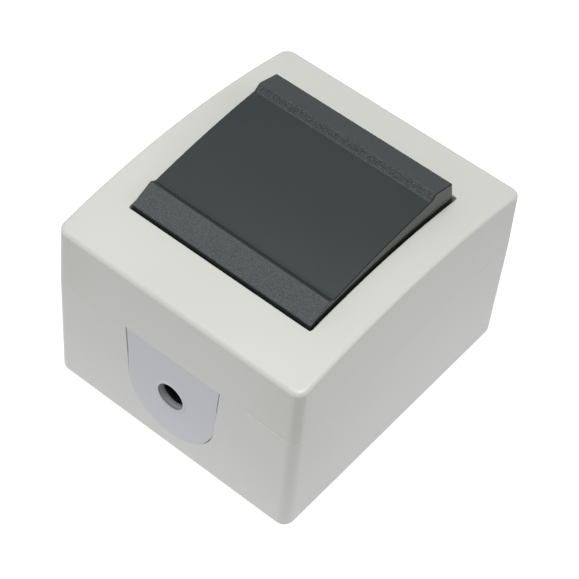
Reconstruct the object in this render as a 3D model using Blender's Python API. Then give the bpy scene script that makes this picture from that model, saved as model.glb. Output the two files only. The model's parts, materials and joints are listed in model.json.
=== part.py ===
"""A surface mounted light switch: a splash-proof box in two shells with a two-way rocker switch inside.

Metres, +Z out of the wall. The origin is the middle of the back face, X runs along the
rocker's pivot axis and Y along the crowned cover, from the pierced cable entry at -Y to the
closed one at +Y. The rocker is modelled with its far (+Y) end raised.
"""

import math

import bmesh
import bpy
from mathutils import Vector

# Box
WIDTH = 0.0660
LENGTH = 0.0756
PARTING_HEIGHT = 0.02995  # from the back to the line where the shells meet
SHOULDER_HEIGHT = 0.0456  # from the back to the cover's top at its two ends
CROWN_RISE = 0.0040  # the cover's middle above its two ends
CORNER_RADIUS = 0.0025
TOP_FILLET = 0.0014
BACK_FILLET = 0.0008
RIM_EDGE = 0.0002  # the small edge break on both sides of the parting line
COVER_DRAFT = math.radians(0.86)
BASE_DRAFT = math.radians(0.30)
BASE_WALL = 0.0022
BASE_FLOOR = 0.0025
COVER_WALL = 0.0020
COVER_ROOF = 0.0022
INNER_RADIUS = 0.0005  # smallest upright corner inside a shell
GUSSET_DROP = 0.0060  # from the base's rim down to the gussets beside its bosses

# Clearances
SEAT = 0.0003  # between pieces that rest on, or fit into, each other
LOOSE = 0.0006  # beside pieces that drop in or swing

# Joint of the two shells
TONGUE_WIDTH = 0.0010
TONGUE_HEIGHT = 0.0015
GASKET_HEIGHT = 0.0010

# Cover opening and the tray under the rocker
RIM_X = 0.00864  # from the box's side to the opening
OPENING_RADIUS = 0.0005
OPENING_EDGE = 0.0002
COLLAR_WALL = 0.0012
TRAY_DEPTH = 0.0056  # from the cover's ends down to the tray
TRAY_FLOOR = 0.0015
TRAY_LEDGE = 0.00716  # from the opening's side in to the tray's window
WINDOW_RADIUS = 0.0015

# Rocker, measured from its pivot with the rocker level
ROCKER_TILT = math.radians(6.35)  # each way from level
PIVOT_DROP = 0.0024  # from the cover's ends down to the pivot
ROCKER_SIDE_GAP = 0.0005
ROCKER_END_GAP = 0.0006
ROCKER_WALL = 0.0018
ROCKER_SKIRT = 0.0010  # underside above the pivot
ROCKER_SHOULDER = 0.0081  # top edge of the two end faces above the pivot
ROCKER_CREST = 0.01025  # top of the ridges above the pivot
PANEL_EDGE = 0.0091  # the middle panel above the pivot, at the foot of each ridge
PANEL_RISE = 0.0006  # the panel's middle above its edges
LIP_LENGTH = 0.0058  # from the end face to the ridge
RIDGE_STEP = 0.0015  # run of the slope from the ridge to the panel
SHOULDER_ROUND = 0.0004
CREST_ROUND = 0.0005
STEP_ROUND = 0.0004
ROCKER_SIDE_ROUND = 0.0004
RIB = 0.0012
RIB_INSET = 0.0032  # from the cradle's side in to the long ribs

# Cradle that carries the rocker, and its bearing
CRADLE_MARGIN = 0.0060  # from the tray's window in to the cradle's side
CRADLE_Y = 0.0075  # half its length
CRADLE_THICKNESS = 0.0044
TRUNNION_RADIUS = 0.0020
EAR_THICKNESS = 0.0030
EAR_RADIUS = 0.0038
CLIP_WIDTH = 0.0100
CLIP_THICKNESS = 0.0012
CLIP_HOOK = 0.0008

# Switch frame and seal
SEAL_HEIGHT = 0.0029
SEAL_WIDTH = 0.0014
FRAME_THICKNESS = 0.0020
FRAME_MARGIN = 0.0028  # from the tray's window out to the frame's edge on X
FRAME_END_MARGIN = 0.0036  # the same on Y
FRAME_RADIUS = 0.0030
FRAME_WINDOW_X = 0.0065
FRAME_WINDOW_Y = 0.0080
LUG_RADIUS = 0.0035
LUG_REACH = 0.0035  # from the frame's edge to the screw's axis
ACCESS_RADIUS = 0.0030
HOOK_WIDTH = 0.0080
HOOK_THICKNESS = 0.0012
HOOK_DROP = 0.0058
HOOK_BARB = 0.0009

# Mechanism body
BODY_LENGTH = 0.0290
BODY_MARGIN = 0.0012  # from the frame's side in to the body's
BODY_DEPTH = 0.0207
BODY_WALL = 0.0017
POCKET_DEPTH = 0.0121
ARM_POCKET = 0.0047  # half width of the pocket that the contact arm swings in
TERMINAL_POCKET = 0.0072  # length of each terminal's pocket
WIRE_SLOT = 0.0050

# Contacts
STRIP = 0.0008  # thickness of the contact metal
STRIP_WIDTH = 0.0060
TERMINAL_INSET_X = 0.0048  # from the body's side to the terminal screw's axis
TERMINAL_INSET_Y = 0.0055
CONTACT_RADIUS = 0.0016
CONTACT_HEIGHT = 0.0009
CONTACT_EDGE = 0.0003
RIVET_RADIUS = 0.0008
RIVET_FLARE = 0.00045
ARM_WIDTH = 0.0050
ARM_END = 0.0020  # metal beyond the contact's centre
ARM_DIP = 0.0003
ARM_DIP_LENGTH = 0.0026
ARM_TILT = math.radians(5.0)  # each way from level
EAR_TAB = 0.0006  # half the width of the arm's bearing tabs
CHEEK_GAP = 0.0005
CHEEK_WIDTH = 0.0044

# Plunger and spring
STEM_RADIUS = 0.0035
STEM_LENGTH = 0.0095
PLUNGER_RADIUS = 0.0019
PLUNGER_TOP = 0.0044  # below the pivot
NOSE_RADIUS = 0.0013
NOSE_FLAT = 0.00013  # radius of the flat at its tip
BORE_TOP = 0.0009  # above the pivot
SPRING_WIRE = 0.00045
SPRING_TURNS = 5

# Screws
SCREW_RADIUS = 0.00145
SCREW_HEAD_RADIUS = 0.0028
SCREW_HEAD_HEIGHT = 0.0018
SCREW_HEAD_EDGE = 0.0011  # the head's upright side
SCREW_CROWN_RADIUS = 0.0021  # the head's flat top
SCREW_TIP_RADIUS = 0.00065
CROSS_WIDTH = 0.0008
CROSS_LENGTH = 0.0032
CROSS_DEPTH = 0.0009
COVER_SCREW_LENGTH = 0.0220
FRAME_SCREW_LENGTH = 0.0120
TERMINAL_SCREW_LENGTH = 0.0075
COVER_SCREW_INSET_X = 0.00486  # from the opening's side to the screw's axis
COVER_SCREW_INSET_Y = 0.00460
COVER_SCREW_BEYOND = 0.00402  # from the frame's end out to the screw's axis
SCREW_SINK = 0.0018  # the cover screws' seats below the tray
BOSS_WALL = 0.0018
TUBE_WALL = 0.0011
WASHER_SIZE = 0.0060
WASHER_THICKNESS = 0.0010

# Cable entries
ENTRY_TOP = 0.0130  # half width of the slot at the parting line
ENTRY_RADIUS = 0.0120
ENTRY_CENTRE_HEIGHT = 0.0166
CABLE_HOLE_RADIUS = 0.0035
CABLE_HOLE_HEIGHT = 0.0175
BEAD_WIDTH = 0.0009
BEAD_HEIGHT = 0.00035
INSERT_FACE = 0.0017
FLANGE_THICKNESS = 0.0012
FLANGE_OVERLAP = 0.0018
MEMBRANE = 0.0007
RAIL = 0.0012

# Back
FIXING_SLOT_WIDTH = 0.0040
FIXING_SLOT_LENGTH = 0.0080
FIXING_INSET = 0.0138  # from the box's end to the middle of a slot
FIXING_PAD = 0.0010
KNOCKOUT_RADIUS = 0.0100
KNOCKOUT_GROOVE = 0.0008
KNOCKOUT_DEPTH = 0.0014
REST_INSET_X = 0.0038  # from the body's side to the end of the rib under it
REST_INSET_Y = 0.0045

# Facets
CORNER_STEPS = 4
EDGE_STEPS = 2
BACK_STEPS = 3
BEAD_STEPS = 4
NOSE_STEPS = 5
CROWN_STEPS = 12
PANEL_STEPS = 10
ENTRY_STEPS = 14
ROUND = 20
SMALL_ROUND = 14
TRUNNION_ROUND = 16
KNOCKOUT_ROUND = 24
CABLE_HOLE_ROUND = 28
SPRING_STEPS = 12
BITE = 0.0002  # how far joined shapes reach into each other
PAST = 0.0010  # how far a cutter reaches past a face

# Places worked out from the sizes above
HALF_X = WIDTH / 2
HALF_Y = LENGTH / 2
CROWN_RADIUS = (HALF_Y**2 + CROWN_RISE**2) / (2 * CROWN_RISE)
COVER_TOP = SHOULDER_HEIGHT + CROWN_RISE
BASE_TOP = PARTING_HEIGHT - SEAT / 2
COVER_BOTTOM = PARTING_HEIGHT + SEAT / 2
TONGUE_TOP = BASE_TOP + TONGUE_HEIGHT
REBATE_TOP = TONGUE_TOP + GASKET_HEIGHT + 2 * SEAT
TONGUE_INSET = BASE_WALL - TONGUE_WIDTH
OPENING_X = HALF_X - RIM_X
WINDOW_X = OPENING_X - TRAY_LEDGE
FRAME_X = WINDOW_X + FRAME_MARGIN
LUG_X = FRAME_X + LUG_REACH
BODY_X = FRAME_X - BODY_MARGIN
CRADLE_X = WINDOW_X - CRADLE_MARGIN
TERMINAL_X = BODY_X - TERMINAL_INSET_X
BODY_Y = BODY_LENGTH / 2
FRAME_Y = BODY_Y + SEAT + HOOK_THICKNESS
WINDOW_Y = FRAME_Y - FRAME_END_MARGIN
TERMINAL_Y = BODY_Y - TERMINAL_INSET_Y
CONTACT_Y = TERMINAL_Y
COVER_SCREW_X = OPENING_X - COVER_SCREW_INSET_X
COVER_SCREW_Y = FRAME_Y + COVER_SCREW_BEYOND
OPENING_Y = COVER_SCREW_Y + COVER_SCREW_INSET_Y
FIXING_Y = HALF_Y - FIXING_INSET
REST_X = BODY_X - REST_INSET_X
REST_Y = BODY_Y - REST_INSET_Y
TRAY_TOP = SHOULDER_HEIGHT - TRAY_DEPTH
TRAY_BOTTOM = TRAY_TOP - TRAY_FLOOR
PIVOT_HEIGHT = SHOULDER_HEIGHT - PIVOT_DROP
FRAME_TOP = TRAY_BOTTOM - SEAL_HEIGHT - 2 * SEAT
FRAME_BOTTOM = FRAME_TOP - FRAME_THICKNESS
BODY_TOP = FRAME_BOTTOM - SEAT
BODY_BOTTOM = BODY_TOP - BODY_DEPTH
POCKET_FLOOR = BODY_TOP - POCKET_DEPTH
STRIP_BOTTOM = POCKET_FLOOR + SEAT
STRIP_TOP = STRIP_BOTTOM + STRIP
FIXED_CONTACT_TOP = STRIP_TOP + SEAT + CONTACT_HEIGHT
SCREW_HOLE = SCREW_RADIUS + SEAT
COVER_SCREW_SEAT = TRAY_TOP - SCREW_SINK
COVER_SCREW_PLACES = ((COVER_SCREW_X, -COVER_SCREW_Y), (-COVER_SCREW_X, COVER_SCREW_Y))
FRAME_SCREW_PLACES = ((LUG_X, 0.0), (-LUG_X, 0.0))
SWITCHED_PLACES = ((-TERMINAL_X, -TERMINAL_Y), (-TERMINAL_X, TERMINAL_Y))
COMMON_PLACE = (TERMINAL_X, -TERMINAL_Y)
TERMINAL_PLACES = SWITCHED_PLACES + (COMMON_PLACE,)
WASHER_BOTTOM = STRIP_TOP + SEAT
TERMINAL_SCREW_SEAT = WASHER_BOTTOM + WASHER_THICKNESS

# The arm is level with its tabs' middle at the pivot; its flat ends stand ARM_DIP higher.
ARM_FLAT_TOP = ARM_DIP + STRIP / 2
ARM_FLAT_BOTTOM = ARM_DIP - STRIP / 2
MOVING_CONTACT_FOOT = ARM_FLAT_BOTTOM - SEAT - CONTACT_HEIGHT
ARM_LENGTH = CONTACT_Y + ARM_END
ARM_PIVOT_HEIGHT = (
    FIXED_CONTACT_TOP
    + SEAT
    + (CONTACT_Y + CONTACT_RADIUS) * math.sin(ARM_TILT)
    - MOVING_CONTACT_FOOT * math.cos(ARM_TILT)
)


def cover_top(y):
    """Height of the crowned top above the back, at this place along the cover."""
    return COVER_TOP - CROWN_RADIUS + math.sqrt(CROWN_RADIUS**2 - y**2)


def lowered(drop):
    """The crowned top moved down by this much."""
    return lambda y: cover_top(y) - drop


def cover_draft(height):
    """How far the cover's sides have leaned in at this height."""
    return math.tan(COVER_DRAFT) * (height - PARTING_HEIGHT)


def base_draft(height):
    """How far the base's sides have leaned in at this height."""
    return math.tan(BASE_DRAFT) * (PARTING_HEIGHT - height)


def plunger_reach():
    """From the pivot to the plunger's tip, so that it just clears the arm at rest."""
    drop = PIVOT_HEIGHT - ARM_PIVOT_HEIGHT - ARM_FLAT_TOP - SEAT
    side = drop * math.tan(ROCKER_TILT)
    along_dip = min(side / ARM_DIP_LENGTH, 1.0)
    surface = ARM_FLAT_TOP - ARM_DIP * (1.0 - along_dip)
    lowered = side * math.tan(ARM_TILT)
    return (PIVOT_HEIGHT - ARM_PIVOT_HEIGHT - surface + lowered - SEAT) / math.cos(ROCKER_TILT)


# Shapes


def arc(centre, radius, start, sweep, steps):
    """Points along an arc, both ends included; angles in radians."""
    points = []
    for step in range(steps + 1):
        angle = start + sweep * step / steps
        points.append((centre[0] + radius * math.cos(angle), centre[1] + radius * math.sin(angle)))
    return points


def circle(radius, steps, centre=(0.0, 0.0)):
    """Points round a circle, anticlockwise."""
    return arc(centre, radius, 0.0, math.tau * (steps - 1) / steps, steps - 1)


def rounded(corners, steps=3):
    """An outline through corners given as (u, v, radius), with an arc at each that has a radius."""
    points = []
    for index, (u, v, radius) in enumerate(corners):
        if radius == 0:
            points.append((u, v))
            continue
        here = Vector((u, v))
        before = (Vector(corners[index - 1][:2]) - here).normalized()
        after = (Vector(corners[(index + 1) % len(corners)][:2]) - here).normalized()
        half = before.angle(after) / 2
        centre = here + (before + after).normalized() * radius / math.sin(half)
        start = here + before * radius / math.tan(half) - centre
        end = here + after * radius / math.tan(half) - centre
        turn = math.atan2(start.cross(end), start.dot(end))
        points += arc(centre, radius, math.atan2(start.y, start.x), turn, steps)
    return points


def inset(outline, distance):
    """An anticlockwise outline moved inwards by this distance."""
    sharpest = 0.25  # holds back the point of a corner under 60 degrees
    points = []
    for index, here in enumerate(outline):
        here = Vector(here)
        before = (here - Vector(outline[index - 1])).normalized()
        after = (Vector(outline[(index + 1) % len(outline)]) - here).normalized()
        inward = Vector((-before.y - after.y, before.x + after.x)).normalized()
        spread = math.sqrt(max(sharpest, (1 + before.dot(after)) / 2))
        points.append(tuple(here + inward * distance / spread))
    return points


def rectangle(half_x, half_y, radius=0.0, steps=CORNER_STEPS, sides=1):
    """A rounded rectangle, anticlockwise; the two sides along Y are divided into this many parts."""
    reach_x = half_x - radius
    reach_y = half_y - radius
    points = []
    for quarter, (x, y) in enumerate(((1, 1), (-1, 1), (-1, -1), (1, -1))):
        centre = (x * reach_x, y * reach_y)
        if radius == 0:
            points.append(centre)
        else:
            points += arc(centre, radius, quarter * math.pi / 2, math.pi / 2, steps)
        if quarter in (1, 3):
            for part in range(1, sides):
                points.append((x * half_x, y * reach_y * (1 - 2 * part / sides)))
    return points


def stadium(length, width, across=False, steps=6):
    """A slot with round ends, along X, or along Y if across."""
    reach = (length - width) / 2
    points = arc((reach, 0.0), width / 2, -math.pi / 2, math.pi, steps)
    points += arc((-reach, 0.0), width / 2, math.pi / 2, math.pi, steps)
    return [(-v, u) for u, v in points] if across else points


def entry(wider, top):
    """The cable entry's U, this much wider all round: an arc, and sides that lean out up to the top."""
    top_half = ENTRY_TOP + wider
    radius = ENTRY_RADIUS + wider
    centre_height = ENTRY_CENTRE_HEIGHT
    rise = PARTING_HEIGHT - centre_height
    reach = math.hypot(top_half, rise)
    lean = math.atan2(rise, top_half) - math.acos(min(1.0, radius / reach))
    points = arc((0.0, centre_height), radius, math.pi - lean, math.pi + 2 * lean, ENTRY_STEPS)
    slope = (top_half - radius * math.cos(lean)) / (rise - radius * math.sin(lean))
    outward = (top - PARTING_HEIGHT) * slope
    points.append((top_half + outward, top))
    points.insert(0, (-top_half - outward, top))
    return points


def raised(outline, height, at=(0.0, 0.0)):
    """A level ring of points; the height is a number, or a function of the place along Y."""
    ring = []
    for x, y in outline:
        z = height(y) if callable(height) else height
        ring.append(Vector((x + at[0], y + at[1], z)))
    return ring


def add_loft(shape, rings, closed=False):
    """Skins rings with equal numbers of points; an open loft is capped at both ends."""
    count = len(rings[0])
    rows = [[shape.verts.new(point) for point in ring] for ring in rings]
    pairs = list(zip(rows, rows[1:]))
    if closed:
        pairs.append((rows[-1], rows[0]))
    else:
        shape.faces.new(rows[0])
        shape.faces.new(rows[-1])
    for low, high in pairs:
        for index in range(count):
            after = (index + 1) % count
            shape.faces.new((low[index], low[after], high[after], high[index]))


def add_prism(shape, outline, low, high, along="Z", at=(0.0, 0.0, 0.0)):
    """Pushes a flat outline along one axis, from low to high."""
    place = {
        "X": lambda u, v, w: (w, u, v),
        "Y": lambda u, v, w: (u, w, v),
        "Z": lambda u, v, w: (u, v, w),
    }[along]
    rings = []
    for level in (low, high):
        rings.append([Vector(place(u, v, level)) + Vector(at) for u, v in outline])
    add_loft(shape, rings)


def add_block(shape, low, high):
    """A box between two corners."""
    outline = ((low[0], low[1]), (high[0], low[1]), (high[0], high[1]), (low[0], high[1]))
    add_prism(shape, outline, low[2], high[2])


def add_cylinder(shape, radius, low, high, at=(0.0, 0.0), steps=ROUND):
    """An upright cylinder."""
    add_turned(shape, ((radius, low), (radius, high)), at, steps)


def add_turned(shape, profile, at=(0.0, 0.0), steps=ROUND):
    """A body turned about an upright axis, from (radius, height) points; its ends are closed flat."""
    rings = []
    for radius, height in profile:
        rings.append(raised(circle(radius, steps), height, at))
    add_loft(shape, rings)


def mesh_from(shape, name):
    bmesh.ops.recalc_face_normals(shape, faces=shape.faces[:])
    mesh = bpy.data.meshes.new(name)
    shape.to_mesh(mesh)
    shape.free()
    return mesh


# Materials


def linear(level):
    """One 8-bit display level as linear light."""
    value = level / 255
    return value / 12.92 if value <= 0.04045 else ((value + 0.055) / 1.055) ** 2.4


def make_material(name, red, green, blue, roughness, metallic=0.0):
    material = bpy.data.materials.new(name)
    material.use_nodes = True
    surface = material.node_tree.nodes["Principled BSDF"]
    surface.inputs["Base Color"].default_value = (linear(red), linear(green), linear(blue), 1.0)
    surface.inputs["Roughness"].default_value = roughness
    surface.inputs["Metallic"].default_value = metallic
    return material


def make_materials():
    return {
        "housing": make_material("housing_plastic", 214, 215, 209, 0.45),
        "insert": make_material("insert_plastic", 176, 177, 183, 0.60),
        "rocker": make_material("rocker_plastic", 66, 71, 71, 0.40),
        "mechanism": make_material("mechanism_plastic", 205, 200, 188, 0.50),
        "cradle": make_material("cradle_plastic", 232, 232, 228, 0.45),
        "rubber": make_material("seal_rubber", 44, 44, 46, 0.80),
        "steel": make_material("zinc_plated_steel", 190, 192, 195, 0.35, 1.0),
        "brass": make_material("brass", 201, 168, 96, 0.35, 1.0),
        "silver": make_material("silver_contact", 222, 222, 224, 0.25, 1.0),
    }


# Objects


def smooth_by_angle():
    """A node group that shades smooth, apart from edges sharper than its angle."""
    group = bpy.data.node_groups.new("smooth_by_angle", "GeometryNodeTree")
    group.interface.new_socket("Geometry", in_out="INPUT", socket_type="NodeSocketGeometry")
    limit = group.interface.new_socket("Angle", in_out="INPUT", socket_type="NodeSocketFloat")
    limit.subtype = "ANGLE"
    limit.default_value = math.radians(30)
    group.interface.new_socket("Geometry", in_out="OUTPUT", socket_type="NodeSocketGeometry")
    source = group.nodes.new("NodeGroupInput")
    result = group.nodes.new("NodeGroupOutput")
    edge_angle = group.nodes.new("GeometryNodeInputMeshEdgeAngle")
    compare = group.nodes.new("FunctionNodeCompare")
    compare.operation = "LESS_THAN"
    faces = group.nodes.new("GeometryNodeSetShadeSmooth")
    edges = group.nodes.new("GeometryNodeSetShadeSmooth")
    edges.domain = "EDGE"
    group.links.new(source.outputs["Geometry"], faces.inputs["Geometry"])
    group.links.new(faces.outputs["Geometry"], edges.inputs["Geometry"])
    group.links.new(edge_angle.outputs["Unsigned Angle"], compare.inputs[0])
    group.links.new(source.outputs["Angle"], compare.inputs[1])
    group.links.new(compare.outputs["Result"], edges.inputs["Shade Smooth"])
    group.links.new(edges.outputs["Geometry"], result.inputs["Geometry"])
    return group


def make_part(name, shape, material, parent=None):
    """A visible piece. Its shape is given about its parent's origin."""
    part = bpy.data.objects.new(name, mesh_from(shape, name))
    part.data.materials.append(material)
    part.parent = parent
    bpy.context.collection.objects.link(part)
    return part


def alter(part, operation, name, shape):
    """Cuts a helper shape from a piece, or joins it on, with a Boolean modifier."""
    helper = bpy.data.objects.new(f"{part.name}_{name}", mesh_from(shape, name))
    helper.parent = part.parent
    helper.display_type = "WIRE"
    helper.hide_render = True
    bpy.context.collection.objects.link(helper)
    modifier = part.modifiers.new(name, "BOOLEAN")
    modifier.operation = operation
    modifier.object = helper
    modifier.solver = "EXACT"


def cut(part, name, shape):
    alter(part, "DIFFERENCE", name, shape)


def join(part, name, shape):
    alter(part, "UNION", name, shape)


def make_axis(name, height, tilt):
    """An empty on a pivot; what it carries is modelled level about it."""
    axis = bpy.data.objects.new(name, None)
    axis.location = (0.0, 0.0, height)
    axis.rotation_euler = (tilt, 0.0, 0.0)
    axis.empty_display_size = 0.01
    bpy.context.collection.objects.link(axis)
    return axis


# Cover


def make_cover(material):
    def ring(inward, height, radius):
        outline = rectangle(HALF_X - inward, HALF_Y - inward, radius, sides=CROWN_STEPS)
        return raised(outline, height)

    def inner_ring(half_x, half_y, height, radius):
        return raised(rectangle(half_x, half_y, radius, sides=CROWN_STEPS), height)

    lean = cover_draft(SHOULDER_HEIGHT)
    rings = [ring(RIM_EDGE, COVER_BOTTOM, CORNER_RADIUS - RIM_EDGE)]
    rings.append(ring(0.0, COVER_BOTTOM + RIM_EDGE, CORNER_RADIUS))
    for step in range(CORNER_STEPS + 1):
        angle = step / CORNER_STEPS * math.pi / 2
        inward = TOP_FILLET * (1 - math.cos(angle))
        drop = TOP_FILLET * (1 - math.sin(angle))
        radius = max(INNER_RADIUS, CORNER_RADIUS - inward)
        rings.append(ring(lean + inward, lowered(drop), radius))
    edge_x = OPENING_X + OPENING_EDGE
    edge_y = OPENING_Y + OPENING_EDGE
    middle_x = (HALF_X - lean - TOP_FILLET + edge_x) / 2
    middle_y = (HALF_Y - lean - TOP_FILLET + edge_y) / 2
    rings.append(inner_ring(middle_x, middle_y, cover_top, OPENING_RADIUS + OPENING_EDGE))
    for step in range(EDGE_STEPS + 1):
        angle = step / EDGE_STEPS * math.pi / 2
        out = OPENING_EDGE * (1 - math.sin(angle))
        drop = OPENING_EDGE * (1 - math.cos(angle))
        corner = OPENING_RADIUS + out
        rings.append(inner_ring(OPENING_X + out, OPENING_Y + out, lowered(drop), corner))
    rings.append(inner_ring(OPENING_X, OPENING_Y, TRAY_TOP, OPENING_RADIUS))
    rings.append(inner_ring(WINDOW_X, WINDOW_Y, TRAY_TOP, WINDOW_RADIUS))
    rings.append(inner_ring(WINDOW_X, WINDOW_Y, TRAY_BOTTOM, WINDOW_RADIUS))
    collar_x = OPENING_X + COLLAR_WALL
    collar_y = OPENING_Y + COLLAR_WALL
    collar_radius = OPENING_RADIUS + COLLAR_WALL
    rings.append(inner_ring(collar_x, collar_y, TRAY_BOTTOM, collar_radius))
    rings.append(inner_ring(collar_x, collar_y, lowered(COVER_ROOF), collar_radius))
    wall_radius = max(INNER_RADIUS, CORNER_RADIUS - COVER_WALL)
    rings.append(ring(lean + COVER_WALL, lowered(COVER_ROOF), wall_radius))
    rings.append(ring(COVER_WALL, REBATE_TOP, wall_radius))
    rebate = TONGUE_INSET - SEAT
    rebate_radius = max(INNER_RADIUS, CORNER_RADIUS - rebate)
    rings.append(ring(rebate, REBATE_TOP, rebate_radius))
    rings.append(ring(rebate, COVER_BOTTOM, rebate_radius))
    shape = bmesh.new()
    add_loft(shape, rings, closed=True)
    cover = make_part("cover", shape, material)

    tubes = bmesh.new()
    holes = bmesh.new()
    for place in COVER_SCREW_PLACES:
        head_hole = SCREW_HEAD_RADIUS + SEAT
        add_cylinder(tubes, head_hole + TUBE_WALL, COVER_BOTTOM, TRAY_BOTTOM + BITE, place)
        steps = ((SCREW_HOLE, COVER_BOTTOM - PAST), (SCREW_HOLE, COVER_SCREW_SEAT))
        steps += ((head_hole, COVER_SCREW_SEAT), (head_hole, TRAY_TOP + PAST))
        add_turned(holes, steps, place)
    join(cover, "screw_tubes", tubes)
    cut(cover, "screw_holes", holes)
    return cover


# Base box


def make_base(material):
    def ring(inward, height, radius):
        return raised(rectangle(HALF_X - inward, HALF_Y - inward, radius), height)

    lean = base_draft(0.0)
    rings = []
    for step in range(BACK_STEPS + 1):
        angle = step / BACK_STEPS * math.pi / 2
        inward = BACK_FILLET * (1 - math.sin(angle))
        height = BACK_FILLET * (1 - math.cos(angle))
        rings.append(ring(lean + inward, height, CORNER_RADIUS - inward))
    rings.append(ring(0.0, BASE_TOP - RIM_EDGE, CORNER_RADIUS))
    rings.append(ring(RIM_EDGE, BASE_TOP, CORNER_RADIUS - RIM_EDGE))
    tongue_radius = max(INNER_RADIUS, CORNER_RADIUS - TONGUE_INSET)
    wall_radius = max(INNER_RADIUS, CORNER_RADIUS - BASE_WALL)
    rings.append(ring(TONGUE_INSET, BASE_TOP, tongue_radius))
    rings.append(ring(TONGUE_INSET, TONGUE_TOP, tongue_radius))
    rings.append(ring(BASE_WALL, TONGUE_TOP, wall_radius))
    rings.append(ring(BASE_WALL, BASE_FLOOR, wall_radius))
    shape = bmesh.new()
    add_loft(shape, rings)
    base = make_part("base_box", shape, material)

    slots = bmesh.new()
    outline = entry(0.0, TONGUE_TOP + PAST)
    wall_inside = HALF_Y - BASE_WALL
    for end in (-1, 1):
        low, high = sorted((end * (wall_inside - PAST / 2), end * (HALF_Y + PAST)))
        add_prism(slots, outline, low, high, along="Y")
    cut(base, "entry_slots", slots)

    floor = BASE_FLOOR - BITE
    additions = bmesh.new()
    boss = SCREW_HOLE + BOSS_WALL
    for x, y in COVER_SCREW_PLACES:
        add_cylinder(additions, boss, floor, BASE_TOP, (x, y))
    for x, y in FRAME_SCREW_PLACES:
        add_cylinder(additions, boss, floor, FRAME_BOTTOM - SEAT, (x, y))
    rest_top = BODY_BOTTOM - SEAT
    for side in (-1, 1):
        low = side * REST_Y - RIB / 2
        add_block(additions, (-REST_X, low, floor), (REST_X, low + RIB, rest_top))
        pad = stadium(FIXING_SLOT_LENGTH + 2 * RAIL, FIXING_SLOT_WIDTH + 2 * RAIL, side < 0)
        place = (0.0, side * FIXING_Y, 0.0)
        add_prism(additions, pad, floor, BASE_FLOOR + FIXING_PAD, at=place)
    join(base, "bosses", additions)

    gussets = bmesh.new()
    for x, y in COVER_SCREW_PLACES + FRAME_SCREW_PLACES:
        side = math.copysign(1, x)
        inner = x + side * (SCREW_HOLE + BOSS_WALL / 2)
        low, high = sorted((inner, side * (HALF_X - BASE_WALL + BITE)))
        top = BASE_TOP - GUSSET_DROP
        add_block(gussets, (low, y - RIB / 2, floor), (high, y + RIB / 2, top))
    join(base, "gussets", gussets)

    rails = bmesh.new()
    groove_side = ENTRY_TOP + FLANGE_OVERLAP + SEAT
    groove_depth = FLANGE_THICKNESS + 2 * SEAT
    outside = groove_side + RAIL
    lip = groove_side - RAIL
    corners = ((groove_side, -BITE), (outside, -BITE), (outside, groove_depth + RAIL))
    corners += ((lip, groove_depth + RAIL), (lip, groove_depth), (groove_side, groove_depth))
    for side in (-1, 1):
        for end in (-1, 1):
            outline = [(side * x, end * (wall_inside - y)) for x, y in corners]
            add_prism(rails, outline, floor, BASE_TOP - SEAT)
    join(base, "insert_rails", rails)

    holes = bmesh.new()
    foot = COVER_SCREW_SEAT - COVER_SCREW_LENGTH - PAST
    for place in COVER_SCREW_PLACES:
        add_cylinder(holes, SCREW_HOLE, foot, BASE_TOP + PAST, place, SMALL_ROUND)
    foot = FRAME_TOP - FRAME_SCREW_LENGTH - PAST
    for place in FRAME_SCREW_PLACES:
        add_cylinder(holes, SCREW_HOLE, foot, FRAME_TOP, place, SMALL_ROUND)
    for side in (-1, 1):
        slot = stadium(FIXING_SLOT_LENGTH, FIXING_SLOT_WIDTH, side < 0)
        place = (0.0, side * FIXING_Y, 0.0)
        add_prism(holes, slot, -PAST, BASE_FLOOR + FIXING_PAD + PAST, at=place)
    cut(base, "holes", holes)

    groove = bmesh.new()
    inner = circle(KNOCKOUT_RADIUS - KNOCKOUT_GROOVE, KNOCKOUT_ROUND)
    outer = circle(KNOCKOUT_RADIUS, KNOCKOUT_ROUND)
    rings = [raised(inner, -PAST), raised(inner, KNOCKOUT_DEPTH)]
    rings += [raised(outer, KNOCKOUT_DEPTH), raised(outer, -PAST)]
    add_loft(groove, rings, closed=True)
    cut(base, "rear_knockout", groove)
    return base


# Cable inserts


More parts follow.
